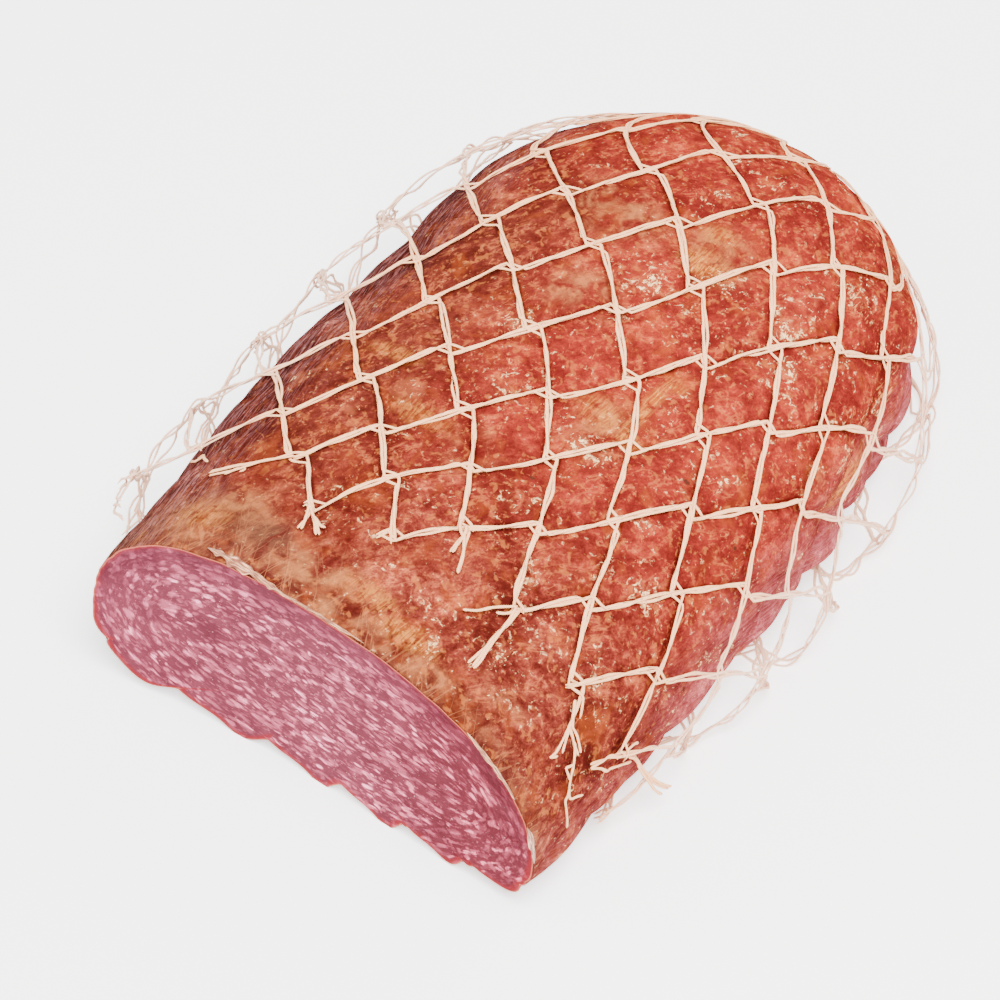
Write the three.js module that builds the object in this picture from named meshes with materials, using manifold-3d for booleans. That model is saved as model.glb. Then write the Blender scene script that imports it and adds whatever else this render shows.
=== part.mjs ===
// Half of a flat, pressed salami in its casing, cut across, with the string net that it was
// hung in. The net is cut back a little behind the cut face and stands off at both flanks.
//
// Millimetres, +Z up. The salami lies on its flat underside: +Y runs from the cut face to the
// rounded end, +X to the right of someone who looks at the cut face. The origin is the middle
// of the underside of the whole part.
//
// A place on the skin is given by two numbers: turn, the share of the girth from the top line
// round to the right, and run, the distance in mm from the cut along the top line.

import * as THREE from 'three';
import Module from 'manifold-3d';

// Body
const LENGTH = 207;
const HEIGHT = 70.8;
const LEFT_HALF = 65.8;
const RIGHT_HALF = 63.9;
const SWELL = 0.09;              // how much wider the body gets along its length
const SIDE_BEND = -1.5;          // sideways drift of the rounded end
const SHOULDER = 0.496;          // share of the length where the rounding starts
const ROUNDING = [2.6, 2.37];    // exponents of the rounding, seen from above
const TIP_HEIGHT = 31.5;
const BELLY_LEFT = 27.6;         // height of the widest line on each side
const BELLY_RIGHT = 21.8;
const UPPER_FULLNESS = [2.38, 2.24];
const LOWER_FULLNESS = [3.55, 3.55];
const REST_SINK = 0.7;           // how much of the underside the table presses flat

// Cut face: leans a little, and bulges on the left and at its lower left
const CUT_LEAN = 0.015;
const CUT_SIDE_BULGE = 3.3;
const CUT_SIDE_FROM = 22;        // distance left of the middle where the bulge starts
const CUT_SIDE_SPAN = 40;
const CUT_LOW_BULGE = 2.8;
const CUT_LOW_FROM = 10;
const CUT_LOW_SPAN = 45;
const CUT_LOW_TOP = 60;          // height where the lower bulge ends

// Pillows that the net pressed into the skin
const GROOVE_TOP = 1.1;
const GROOVE_AT_CUT = 0.4;       // share of that depth left at the cut
const GROOVE_RISE = 35;          // run over which it reaches its full depth
const GROOVE_UNDER = 2.9;        // added on the underside
const UNDER_FROM = 0.2;          // share of the girth from the top line
const UNDER_SPAN = 0.17;
const GROOVE_END = 190;
const GROOVE_FADE = 30;
const PILLOW_SHARPNESS = 0.6;

// Net
const MESHES_ROUND = 14;         // meshes round the girth
const MESH_LENGTH = 31.15;       // a mesh's diagonal along the body
const NET_START = 102;           // run of the net's reference knot
const STRING_WIDTH = 1.5;
const KNOT_WIDTH = 1.9;
const STRING_DEPTH = 0.9;
const STRING_LIFT = 1.4;         // middle of the string above the bottom of its groove
const GROOVE_SPAN = 0.12;        // share of the groove's depth that a taut string bridges
const NET_FAR_END = 3.5;         // in meshes along the body, from the reference knot
const NET_NEAR_END = -2.2;
// How much further the net reaches left of the top and at the left corner, in meshes
const LEFT_OVERHANG = { at: -1, reach: 1.1, by: 0.75 };
const CORNER_OVERHANG = { at: -3.3, reach: 0.65, by: 0.6 };
const TABLE_GAP = 1;             // lowest middle of a string
const RAG_SHORTEST = 0.12;       // cut ends of the strings, in meshes
const RAG_SPREAD = 0.2;

// Slack net that stands off at the flanks
const LEFT_SLACK = { turn: -0.255, off: 11.5, start: -25, rise: 40 };
const RIGHT_SLACK = { turn: 0.31, off: 9.5, start: 5, rise: 30 };
const SLACK_SPREAD = 0.062;
const SLACK_END = 165;
const SLACK_FADE = 40;

// How the net lies askew: slow waves round the body, in shares of the girth for the turn and
// in mm for the run. They fade out towards the far end, where it is drawn straight.
const TURN_OFFSET = 0.042;
const TURN_SWAY = 0.025;
const TURN_PULL = 0.026;
const TURN_TWIN = 0.0133;
const TURN_SWAY_GROWTH = 0.0094;
const TURN_PULL_GROWTH = 0.0047;
const RUN_SWAY = 2.3;
const RUN_SWAY_GROWTH = 1.4;
const RUN_SAG = 13.2;
const RUN_SAG_BACK = 4.4;
const STRAIGHT_FROM = 1.5;
const STRAIGHT_BY = 4;

// Places where the net has slipped: middle of each in round and along, its reach in both, and
// how far it moved round the body and along it, in mm
const SLIPS = [
  [-0.6, -2.4, 1.1, 0.8, -7, 5.5],
  [1.4, -1.9, 1.1, 0.9, -2.5, -7.5],
  [-3, 0.2, 1, 1.6, 9, -2],
  [2.8, -1.1, 0.9, 1.2, 2.5, 5],
  [3, 0.9, 1, 1, -8.5, -5.5],
  [-1, 3.1, 0.9, 0.8, -20, -2.5],
  [1.2, 3.1, 0.8, 0.7, 12, 1.5],
  [0.3, 2, 0.9, 0.9, 0.5, 6],
  [-2, 2.1, 0.7, 0.7, -2, -4],
  [0, 0, 1, 0.9, 3.5, -1],
  [-3.7, -3, 0.5, 3, 0, 14],
];

// Fineness of the facets
const SKIN_STEPS = 3;            // skin edges along one side of a mesh
const SKIN_NEAR = -4;
const SKIN_FAR = 4.25;

const wave = 2 * Math.PI / MESHES_ROUND;

function clamp(value, low, high) {
  return Math.min(high, Math.max(low, value));
}

function ease(value) {
  const t = clamp(value, 0, 1);
  return t * t * (3 - 2 * t);
}

function signedPower(value, exponent) {
  return Math.sign(value) * Math.abs(value) ** exponent;
}

function interpolate(value, from, to) {
  let low = 0;
  let high = from.length - 1;
  while (high - low > 1) {
    const middle = (low + high) >> 1;
    if (from[middle] <= value) low = middle;
    else high = middle;
  }
  const share = (value - from[low]) / (from[high] - from[low]);
  return to[low] + (to[high] - to[low]) * share;
}

// Cross-section at y: two superellipse halves on the left, two on the right, all of them
// shrunk by the rounding towards the far end.
function sectionPoint(angle, y) {
  const past = clamp((y / LENGTH - SHOULDER) / (1 - SHOULDER), 0, 1);
  const rounding = Math.max(1 - past ** ROUNDING[0], 0) ** (1 / ROUNDING[1]);
  const along = clamp(y / LENGTH, 0, 1);
  const top = TIP_HEIGHT + (HEIGHT - TIP_HEIGHT) * rounding ** 0.9;
  const low = TIP_HEIGHT * (1 - Math.sqrt(Math.max(1 - past ** 5, 0)));
  const c = Math.cos(angle);
  const s = Math.sin(angle);
  const belly = (c < 0 ? BELLY_LEFT : BELLY_RIGHT) / HEIGHT;
  const middle = low + belly * (top - low);
  const [wide, high] = s < 0 ? LOWER_FULLNESS : UPPER_FULLNESS;
  const half = (c < 0 ? LEFT_HALF : RIGHT_HALF) * rounding * (1 + SWELL * along);
  return new THREE.Vector3(
    half * signedPower(c, 2 / wide) + SIDE_BEND * along ** 2,
    y,
    middle + (s > 0 ? top - middle : middle - low) * signedPower(s, 2 / high),
  );
}

// Tables of arc length: share of the girth against angle, and run against y
function arcTable(pointAt, steps) {
  const keys = [0];
  let before = pointAt(0);
  for (let i = 1; i <= steps; i += 1) {
    const here = pointAt(i / steps);
    keys.push(keys[i - 1] + here.distanceTo(before));
    before = here;
  }
  return keys;
}

function steps(count, valueAt) {
  return Array.from({ length: count + 1 }, (_, i) => valueAt(i / count));
}

const angleOf = (share) => Math.PI / 2 - 2 * Math.PI * share;
const yOf = (share) => LENGTH * (1 - (1 - share) ** 3);
const girthArc = arcTable((share) => sectionPoint(angleOf(share), LENGTH / 5), 1440);
const GIRTH = girthArc.at(-1);
const girthShares = girthArc.map((arc) => arc / GIRTH);
const girthAngles = steps(1440, angleOf);
const runArc = arcTable((share) => sectionPoint(Math.PI / 2, yOf(share)), 2000);
const runYs = steps(2000, yOf);
const TOP_RUN = runArc.at(-1);

function plainSkin(turn, run) {
  const angle = interpolate(turn - Math.floor(turn), girthShares, girthAngles);
  const y = run < 0 ? run : interpolate(Math.min(run, TOP_RUN), runArc, runYs);
  return sectionPoint(angle, y);
}

function skinNormal(turn, run) {
  const aroundStep = 0.003;
  const alongStep = 0.4;
  const ahead = Math.min(run + alongStep, TOP_RUN - 0.02);
  const around = plainSkin(turn + aroundStep, run).sub(plainSkin(turn - aroundStep, run));
  const along = plainSkin(turn, ahead).sub(plainSkin(turn, run - alongStep));
  return around.cross(along).normalize();
}

// Surface of the cut, as y over x and z
function cutFace(x, z) {
  const side = clamp((-CUT_SIDE_FROM - x) / CUT_SIDE_SPAN, 0, 1.2) ** 2;
  const lowSide = clamp((-CUT_LOW_FROM - x) / CUT_LOW_SPAN, 0, 1.2);
  const low = lowSide * clamp(1 - z / CUT_LOW_TOP, 0, 1);
  return CUT_LEAN * z - CUT_SIDE_BULGE * side - CUT_LOW_BULGE * low;
}

// The lean and bulge of the cut fade out along the body
function followCut(point) {
  point.y += (1 - point.y / LENGTH) * cutFace(point.x, point.z);
  return point;
}

// The net in its own numbers: round counts meshes round the girth, along counts meshes along
// the body. A knot has both whole, or both half. It turns and sags a little on the body.
function netPlace(round, along) {
  const s = Math.sin(wave * round);
  const back = 1 - Math.cos(wave * round);
  const askew = 1 - ease((along - STRAIGHT_FROM) / (STRAIGHT_BY - STRAIGHT_FROM));
  let turn = round / MESHES_ROUND + TURN_OFFSET
    + askew * (TURN_SWAY * s - TURN_PULL * back - TURN_TWIN * Math.sin(2 * wave * round)
    + along * (TURN_SWAY_GROWTH * s - TURN_PULL_GROWTH * (1 - back)));
  let run = NET_START + MESH_LENGTH * along
    + askew * ((RUN_SWAY + RUN_SWAY_GROWTH * along) * s - RUN_SAG * back + RUN_SAG_BACK * back ** 2);
  for (const [slipRound, slipAlong, wide, long, aside, down] of SLIPS) {
    const across = round - slipRound;
    const near = across - MESHES_ROUND * Math.round(across / MESHES_ROUND);
    const bell = Math.exp(-((near / wide) ** 2) - ((along - slipAlong) / long) ** 2);
    turn += bell * aside / GIRTH;
    run += bell * down;
  }
  return [turn, Math.min(run, TOP_RUN - 0.5)];
}

function grooveDepth(turn, run) {
  const fromTop = Math.abs(turn - Math.round(turn));
  const top = GROOVE_TOP * (GROOVE_AT_CUT + (1 - GROOVE_AT_CUT) * ease(run / GROOVE_RISE));
  const under = GROOVE_UNDER * ease((fromTop - UNDER_FROM) / UNDER_SPAN);
  return (top + under) * (1 - ease((run - GROOVE_END) / GROOVE_FADE));
}

// 0 on the strings, 1 in the middle of a mesh
function pillow(round, along) {
  const across = Math.abs(Math.sin(Math.PI * (round + along)));
  const down = Math.abs(Math.sin(Math.PI * (round - along)));
  return (across * down) ** PILLOW_SHARPNESS;
}

function skinPoint(round, along) {
  const [turn, run] = netPlace(round, along);
  const sunk = grooveDepth(turn, run) * (1 - pillow(round, along));
  const point = plainSkin(turn, run).addScaledVector(skinNormal(turn, run), -sunk);
  point.z = Math.max(point.z - REST_SINK, 0);
  return followCut(point);
}

function slackOn(slack, turn, run) {
  const bell = Math.exp(-(((turn - Math.round(turn) - slack.turn) / SLACK_SPREAD) ** 2));
  return slack.off * bell * ease((run - slack.start) / slack.rise);
}

function slackness(turn, run) {
  const sides = slackOn(LEFT_SLACK, turn, run) + slackOn(RIGHT_SLACK, turn, run);
  return sides * (1 - ease((run - SLACK_END) / SLACK_FADE));
}

function stringPoint(round, along) {
  const [turn, run] = netPlace(round, along);
  const normal = skinNormal(turn, run);
  const groove = grooveDepth(turn, run);
  const lift = STRING_LIFT + GROOVE_SPAN * groove + slackness(turn, run);
  const point = plainSkin(turn, run).addScaledVector(normal, lift - groove);
  point.z = Math.max(point.z - REST_SINK, TABLE_GAP);
  return { point: followCut(point), normal };
}

function solidFrom(wasm, points, triangles) {
  const vertProperties = new Float32Array(points.flatMap((p) => [p.x, p.y, p.z]));
  const triVerts = new Uint32Array(triangles.flat());
  return new wasm.Manifold(new wasm.Mesh({ numProp: 3, vertProperties, triVerts }));
}

function geometryFrom(solid) {
  const mesh = solid.getMesh();
  const geometry = new THREE.BufferGeometry();
  geometry.setAttribute('position', new THREE.BufferAttribute(mesh.vertProperties, 3));
  geometry.setIndex(new THREE.BufferAttribute(mesh.triVerts, 1));
  geometry.computeVertexNormals();
  return geometry;
}

// Body of rings that are each turned half a step on the one before, so that the edges follow
// the strings, closed by a fan at both ends
function bodySolid(wasm) {
  const levels = Math.round((SKIN_FAR - SKIN_NEAR) * 2 * SKIN_STEPS);
  const count = MESHES_ROUND * SKIN_STEPS;
  const points = [];
  const triangles = [];
  for (let level = 0; level <= levels; level += 1) {
    const along = SKIN_NEAR + level / (2 * SKIN_STEPS);
    for (let i = 0; i < count; i += 1) {
      points.push(skinPoint((i + (level % 2) / 2) / SKIN_STEPS, along));
    }
  }
  for (let level = 0; level < levels; level += 1) {
    const here = level * count;
    const next = here + count;
    const shift = level % 2;
    for (let i = 0; i < count; i += 1) {
      const right = (i + 1) % count;
      const above = (i + shift) % count;
      const aboveLeft = (i + shift + count - 1) % count;
      triangles.push([here + i, here + right, next + above]);
      triangles.push([here + i, next + above, next + aboveLeft]);
    }
  }
  const nearMiddle = points.length;
  points.push(new THREE.Vector3(0, points[0].y, HEIGHT / 2));
  const tip = points.length;
  points.push(followCut(sectionPoint(Math.PI / 2, LENGTH)));
  const last = levels * count;
  for (let i = 0; i < count; i += 1) {
    const right = (i + 1) % count;
    triangles.push([nearMiddle, right, i]);
    triangles.push([tip, last + i, last + right]);
  }
  return solidFrom(wasm, points, triangles);
}

// Block in front of the cut, whose far side is the curved cut face
function knifeSolid(wasm) {
  const [left, right, low, high, front] = [-95, 95, -12, 84, -60];
  const across = 18;
  const up = 10;
  const points = [];
  const triangles = [];
  for (let layer = 0; layer < 2; layer += 1) {
    for (let j = 0; j <= up; j += 1) {
      for (let i = 0; i <= across; i += 1) {
        const x = left + (right - left) * i / across;
        const z = low + (high - low) * j / up;
        points.push(new THREE.Vector3(x, layer ? cutFace(x, z) : front, z));
      }
    }
  }
  const layerSize = (across + 1) * (up + 1);
  const at = (layer, i, j) => layer * layerSize + j * (across + 1) + i;
  const quad = (a, b, c, d) => triangles.push([a, b, c], [a, c, d]);
  for (let j = 0; j < up; j += 1) {
    for (let i = 0; i < across; i += 1) {
      quad(at(0, i, j), at(0, i + 1, j), at(0, i + 1, j + 1), at(0, i, j + 1));
      quad(at(1, i, j), at(1, i, j + 1), at(1, i + 1, j + 1), at(1, i + 1, j));
    }
  }
  for (let i = 0; i < across; i += 1) {
    quad(at(0, i, 0), at(1, i, 0), at(1, i + 1, 0), at(0, i + 1, 0));
    quad(at(0, i, up), at(0, i + 1, up), at(1, i + 1, up), at(1, i, up));
  }
  for (let j = 0; j < up; j += 1) {
    quad(at(0, 0, j), at(0, 0, j + 1), at(1, 0, j + 1), at(1, 0, j));
    quad(at(0, across, j), at(1, across, j), at(1, across, j + 1), at(0, across, j + 1));
  }
  return solidFrom(wasm, points, triangles);
}

// The net as one closed lattice. A knot is a small four-cornered block with an arm at each
// side, a leg is a four-sided string between two arms. Sections list the upper left, upper
// right, lower right and lower left corner, seen along the way.
class Lattice {
  constructor() {
    this.points = [];
    this.triangles = [];
  }

  corner(point, offset, normal, out) {
    this.points.push(point.clone().add(offset).addScaledVector(normal, out * STRING_DEPTH / 2));
    return this.points.length - 1;
  }

  quad(a, b, c, d) {
    this.triangles.push([a, b, c], [a, c, d]);
  }

  knot(round, along) {
    const step = 0.02;
    const at = (right, up) => stringPoint(round + right * step, along + up * step).point;
    const { point, normal } = stringPoint(round, along);
    const upRight = at(1, 1).sub(at(-1, -1)).normalize();
    const upLeft = at(-1, 1).sub(at(1, -1)).normalize();
    const reach = KNOT_WIDTH / 2 / Math.sin(upRight.angleTo(upLeft));
    const north = upRight.clone().add(upLeft).multiplyScalar(reach);
    const east = upRight.clone().sub(upLeft).multiplyScalar(reach);
    const ways = { n: north, e: east, s: north.clone().negate(), w: east.clone().negate() };
    const top = {};
    const low = {};
    for (const [way, offset] of Object.entries(ways)) {
      top[way] = this.corner(point, offset, normal, 1);
      low[way] = this.corner(point, offset, normal, -1);
    }
    this.quad(top.e, top.n, top.w, top.s);
    this.quad(low.e, low.s, low.w, low.n);
    const arm = (left, right) => [top[left], top[right], low[right], low[left]];
    return {
      upRight: arm('n', 'e'), upLeft: arm('w', 'n'), downLeft: arm('s', 'w'), downRight: arm('e', 's'),
    };
  }

  section(round, along, right, up) {
    const { point, normal } = stringPoint(round, along);
    const ahead = stringPoint(round + right * 0.02, along + up * 0.02).point;
    const left = normal.clone().cross(ahead.sub(point)).normalize();
    const side = left.multiplyScalar(STRING_WIDTH / 2);
    const other = side.clone().negate();
    return [
      this.corner(point, side, normal, 1), this.corner(point, other, normal, 1),
      this.corner(point, other, normal, -1), this.corner(point, side, normal, -1),
    ];
  }

  leg(...sections) {
    for (let i = 1; i < sections.length; i += 1) {
      const here = sections[i - 1];
      const next = sections[i];
      for (let k = 0; k < 4; k += 1) {
        const other = (k + 1) % 4;
        this.quad(here[k], here[other], next[other], next[k]);
      }
    }
  }

  cap(section) {
    this.quad(...section);
  }
}

// An arm seen from the leg that comes to it
function entering([upperLeft, upperRight, lowerRight, lowerLeft]) {
  return [upperRight, upperLeft, lowerLeft, lowerRight];
}

// Row of the last knots before the cut, in half meshes, at a place round the girth. The net
// hangs further down on the left, and furthest at the left corner of the cut.
function nearRow(round) {
  const place = round - MESHES_ROUND * Math.round(round / MESHES_ROUND);
  const overhang = ({ at, reach, by }) => by * Math.exp(-(((place - at) / reach) ** 4));
  return Math.ceil(2 * (NET_NEAR_END - overhang(LEFT_OVERHANG) - overhang(CORNER_OVERHANG)));
}

// Length of a ragged end, in meshes, mixed by its number
function raggedLength(index) {
  const mix = Math.sin(index * 12.9898 + 4.1) * 43758.5453;
  return RAG_SHORTEST + RAG_SPREAD * (mix - Math.floor(mix));
}

function netSolid(wasm) {
  const lattice = new Lattice();
  const lastRow = Math.round(2 * NET_FAR_END);
  const knots = new Map();
  const placeOf = (row, column) => [(column + (Math.abs(row) % 2) / 2), row / 2];
  const find = (row, round) => {
    const column = Math.round(round - (Math.abs(row) % 2) / 2);
    return knots.get(`${row},${(column + MESHES_ROUND) % MESHES_ROUND}`);
  };
  const firstRow = Math.floor(2 * (NET_NEAR_END - LEFT_OVERHANG.by - CORNER_OVERHANG.by));
  for (let row = lastRow; row >= firstRow; row -= 1) {
    for (let column = 0; column < MESHES_ROUND; column += 1) {
      const [round, along] = placeOf(row, column);
      if (row >= nearRow(round)) knots.set(`${row},${column}`, lattice.knot(round, along));
    }
  }
  let ends = 0;
  for (const [key, knot] of knots) {
    const [row, column] = key.split(',').map(Number);
    const [round, along] = placeOf(row, column);
    if (row === lastRow) {
      const loop = lattice.section(round + 0.5, along + 0.2, 1, 0);
      lattice.leg(knot.upRight, loop, entering(find(row, round + 1).upLeft));
    } else {
      const right = lattice.section(round + 0.25, along + 0.25, 1, 1);
      lattice.leg(knot.upRight, right, entering(find(row + 1, round + 0.5).downLeft));
      const left = lattice.section(round - 0.25, along + 0.25, -1, 1);
      lattice.leg(knot.upLeft, left, entering(find(row + 1, round - 0.5).downRight));
    }
    for (const [arm, right] of [[knot.downRight, 1], [knot.downLeft, -1]]) {
      if (!find(row - 1, round + right / 2)) {
        const reach = raggedLength(ends);
        const end = lattice.section(round + right * reach, along - reach, right, -1);
        lattice.leg(arm, end);
        lattice.cap(end);
        ends += 1;
      }
    }
  }
  return solidFrom(wasm, lattice.points, lattice.triangles);
}

const wasm = await Module();
wasm.setup();

const salami = new THREE.Mesh(
  geometryFrom(bodySolid(wasm).subtract(knifeSolid(wasm))),
  new THREE.MeshStandardMaterial({ color: '#b8593f', roughness: 0.45, metalness: 0 }),
);
salami.name = 'salami';

const net = new THREE.Mesh(
  geometryFrom(netSolid(wasm)),
  new THREE.MeshStandardMaterial({ color: '#f2e2d4', roughness: 0.85, metalness: 0 }),
);
net.name = 'net';

// The origin goes to the middle of the underside
const part = new THREE.Group();
part.add(salami, net);
const box = new THREE.Box3().setFromObject(part);
const middle = box.getCenter(new THREE.Vector3());
for (const mesh of [salami, net]) {
  mesh.geometry.translate(-middle.x, -middle.y, -box.min.z);
}

export default part;
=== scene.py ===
"""Half of a flat, pressed salami in its casing and string net, on a pale table.

The shape repeats the frame's own: a place on the skin is a turn, the share of the girth from the
top line round to the right, and a run, the distance in mm from the cut along the top line. The
net has its own numbers on top of that: round counts meshes round the girth, along counts meshes
along the body. Shapes are worked out in mm, with the cut at y = 0, and moved into the frame last.
"""

import math

import bpy
import numpy as np
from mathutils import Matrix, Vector


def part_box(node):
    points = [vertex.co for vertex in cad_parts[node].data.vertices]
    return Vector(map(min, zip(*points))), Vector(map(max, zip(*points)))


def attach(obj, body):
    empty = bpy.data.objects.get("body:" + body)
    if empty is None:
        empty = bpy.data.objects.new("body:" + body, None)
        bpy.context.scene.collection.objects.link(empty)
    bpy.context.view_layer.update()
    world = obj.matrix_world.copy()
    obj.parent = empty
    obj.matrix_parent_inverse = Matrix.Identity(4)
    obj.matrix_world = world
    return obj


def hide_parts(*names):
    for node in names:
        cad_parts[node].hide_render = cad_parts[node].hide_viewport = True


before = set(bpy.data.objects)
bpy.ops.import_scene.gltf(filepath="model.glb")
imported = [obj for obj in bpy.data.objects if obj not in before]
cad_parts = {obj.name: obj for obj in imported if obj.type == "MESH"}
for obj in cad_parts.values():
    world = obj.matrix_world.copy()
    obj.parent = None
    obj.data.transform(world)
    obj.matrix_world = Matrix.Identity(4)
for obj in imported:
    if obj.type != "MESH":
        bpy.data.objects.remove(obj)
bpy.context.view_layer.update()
rng = np.random.default_rng(21)

# Body, in mm. Exponents are those of superellipses: 2 is an ellipse, more is fuller
LENGTH = 207
HEIGHT = 70.8
LEFT_HALF, RIGHT_HALF = 65.8, 63.9
SWELL = 0.09  # how much wider it grows over its length, as a share
SIDE_BEND = -1.5  # of the far end
SHOULDER = 0.496  # share of the length from which the far end is rounded off
ROUNDING = (2.6, 2.37)  # exponents of its outline from above, along and across
TOP_ROUNDING, LOW_ROUNDING = 0.9, 5  # exponents: how the top comes down and the underside up
TIP_HEIGHT = 31.5
BELLY_LEFT, BELLY_RIGHT = 27.6, 21.8  # height at which each side is widest
UPPER_FULLNESS = (2.38, 2.24)  # exponents of the cross-section, across and up
LOWER_FULLNESS = (3.55, 3.55)
REST_SINK = 0.7  # how much of the underside the table presses flat

# Cut face: its lean, and its bulges at the left and at the lower left, each mm out, where it
# starts left of the middle, over how many mm it rises, and the height where the low one ends
CUT_LEAN = 0.015
CUT_SIDE_BULGE, CUT_SIDE_FROM, CUT_SIDE_SPAN = 3.3, 22, 40
CUT_LOW_BULGE, CUT_LOW_FROM, CUT_LOW_SPAN, CUT_LOW_TOP = 2.8, 10, 45, 60
CUT_MIDDLE = (0, 33)

# Pillows between the strings: depth in mm of the grooves on top, its share at the cut and the run
# by which it is full, then the depth added low down, from which turn, and over how many turns
GROOVE_TOP, GROOVE_AT_CUT, GROOVE_RISE = 1.1, 0.4, 35
GROOVE_UNDER, UNDER_FROM, UNDER_SPAN = 3.4, 0.2, 0.17
# On the right flank the grooves are shallow near the cut and deep towards the far end
RIGHT_FLANK, RIGHT_SPREAD, RIGHT_SHALLOW = 0.25, 0.08, 0.6
RIGHT_DEEP, RIGHT_DEEP_FROM, RIGHT_DEEP_RISE = 1.5, 85, 50
GROOVE_END, GROOVE_FADE = 190, 30
# Low down near the cut the pillows are deeper and lean to one side
CUT_SCALLOPS, SCALLOP_LEAN, SCALLOP_SPAN = 0.55, 0.75, 35
# Soft hills and a hollow of the body: turn, run, half width in turns, half length, mm out
SWELLS = (
    (-0.21, 66, 0.075, 34, 3), (-0.155, 152, 0.075, 26, 2.3),
    (0.2, 178, 0.05, 10, 2.2), (0.265, 148, 0.06, 12, -2.6),
)
PILLOW_SHARPNESS = 0.55  # exponent of the mesh: less makes its grooves narrower

# Net
MESHES_ROUND = 14
MESH_LENGTH = 31.15  # from knot to knot along the body, in mm
NET_START = 102  # run of along number 0
NET_FAR_END = 3.5  # along numbers of both ends
NET_NEAR_END = -2.2
# Where the net reaches further towards the cut, left of the top and at the left corner: middle,
# reach round the girth and how much further, in meshes
OVERHANGS = ((-1, 1.1, 0.75), (-3.3, 0.65, 0.6))
TURN_OFFSET = 0.042  # turn of round number 0
# Slow waves that move the knots, in turns and in mm of run, how they grow with each mesh along,
# and between which along numbers they fade out
TURN_SWAY, TURN_PULL, TURN_TWIN = 0.025, 0.026, 0.0133
TURN_SWAY_GROWTH, TURN_PULL_GROWTH = 0.0094, 0.0047
RUN_SWAY, RUN_SWAY_GROWTH, RUN_SAG, RUN_SAG_BACK = 2.3, 1.4, 13.2, 4.4
STRAIGHT_FROM, STRAIGHT_BY = 1.5, 4
# Places where the net has slipped: middle of each in round and along, its reach in both, and
# how far it moved round the body and along it, in mm
SLIPS = (
    (-0.6, -2.4, 1.1, 0.8, -7, 5.5), (1.4, -1.9, 1.1, 0.9, -2.5, -7.5), (-3, 0.2, 1, 1.6, 9, -2),
    (2.8, -1.1, 0.9, 1.2, 2.5, 5), (3, 0.9, 1, 1, -8.5, -5.5), (-1, 3.1, 0.9, 0.8, -20, -2.5),
    (1.2, 3.1, 0.8, 0.7, 12, 1.5), (0.3, 2, 0.9, 0.9, 0.5, 6), (-2, 2.1, 0.7, 0.7, -2, -4),
    (0, 0, 1, 0.9, 3.5, -1), (-3.7, -3, 0.5, 3, 0, 14), (2.7, 2.5, 0.5, 0.5, 7, -4),
    (3.1, 2, 0.55, 0.5, 6, -1), (3.6, 1.5, 0.5, 0.5, 3, -2.5), (2, 2, 0.4, 0.4, 0, -2.4),
    (2.5, 1.5, 0.4, 0.4, 1, -1.5), (3, 1, 0.4, 0.4, 0.3, -2.4), (1.5, 2.5, 0.4, 0.4, 0, -3),
)
# Where the net hangs off the flanks: turn, half width in turns, mm off, and the run from which it
# rises, over how many mm, and from which it falls again
SLACKS = ((-0.3, 0.09, 19, -25, 40, 165), (0.325, 0.078, 13, -8, 120, 188))
SLACK_FADE = 40

# Yarns: three of them make a string
YARN_WIDTH, YARN_THICKNESS = 0.8, 0.48
YARN_SPREAD = 0.38  # how far its yarns wind out from its middle line
TABLE_GAP = 0.5  # height of the lowest yarn's middle
STRING_FLOOR = 0.7  # lowest height of a string's middle line
YARN_LIFT = 0.5  # of a string's middle line over the skin
YARN_SIDES = 6
YARN_TWIST = 27  # mm along a string for one turn of its yarns
# Length in mm of the slow wobbles of a yarn
YARN_WAVES = {"twist": 60, "sway": 34, "rise": 40, "size": 9, "spread": 21}
FULL_SLACK = 11  # mm off the body where a string's yarns lie loosest
LOWEST_YARN = -0.25  # mm from the string's middle line to where its yarns lie lowest
STRING_BEDDING = 0.92  # share of the groove's depth that a string sinks into it
STRING_STEP = 0.05  # between two points along a string, in mesh sides
END_FADE = 0.12  # length over which a string's groove ends, in mesh sides
JOG = 0.09  # half the sidestep of a string at a knot, in mesh sides
JOG_SPANS = ((-0.02, 0.02), (-0.17, 0), (0, 0.17))  # where each yarn does so, round the knot

# Camera, in degrees and mm: where the photograph was taken from
VIEW_AZIMUTH, VIEW_ELEVATION = 36.709, 53.097
VIEW_DISTANCE = 1055.7
VIEW_TARGET = (-4.568, 78.947, 26.8)
VIEW_FOCAL_SHARE = 4.269  # focal length over the image's width

WAVE = 2 * math.pi / MESHES_ROUND


# Shape of the body and the net, in mm

def ease(value):
    """Smooth step from 0 to 1."""
    t = np.clip(value, 0, 1)
    return t * t * (3 - 2 * t)


def bell(*offsets):
    """1 in the middle of a soft hill, falling off with the offsets, each in widths of the hill."""
    return np.exp(-sum(offset ** 2 for offset in offsets))


def wrapped(value, lap=1):
    """The value moved by whole laps, so that it lies within half a lap of 0."""
    return value - lap * np.round(value / lap)


def signed_power(value, exponent):
    return np.sign(value) * np.abs(value) ** exponent


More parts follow.
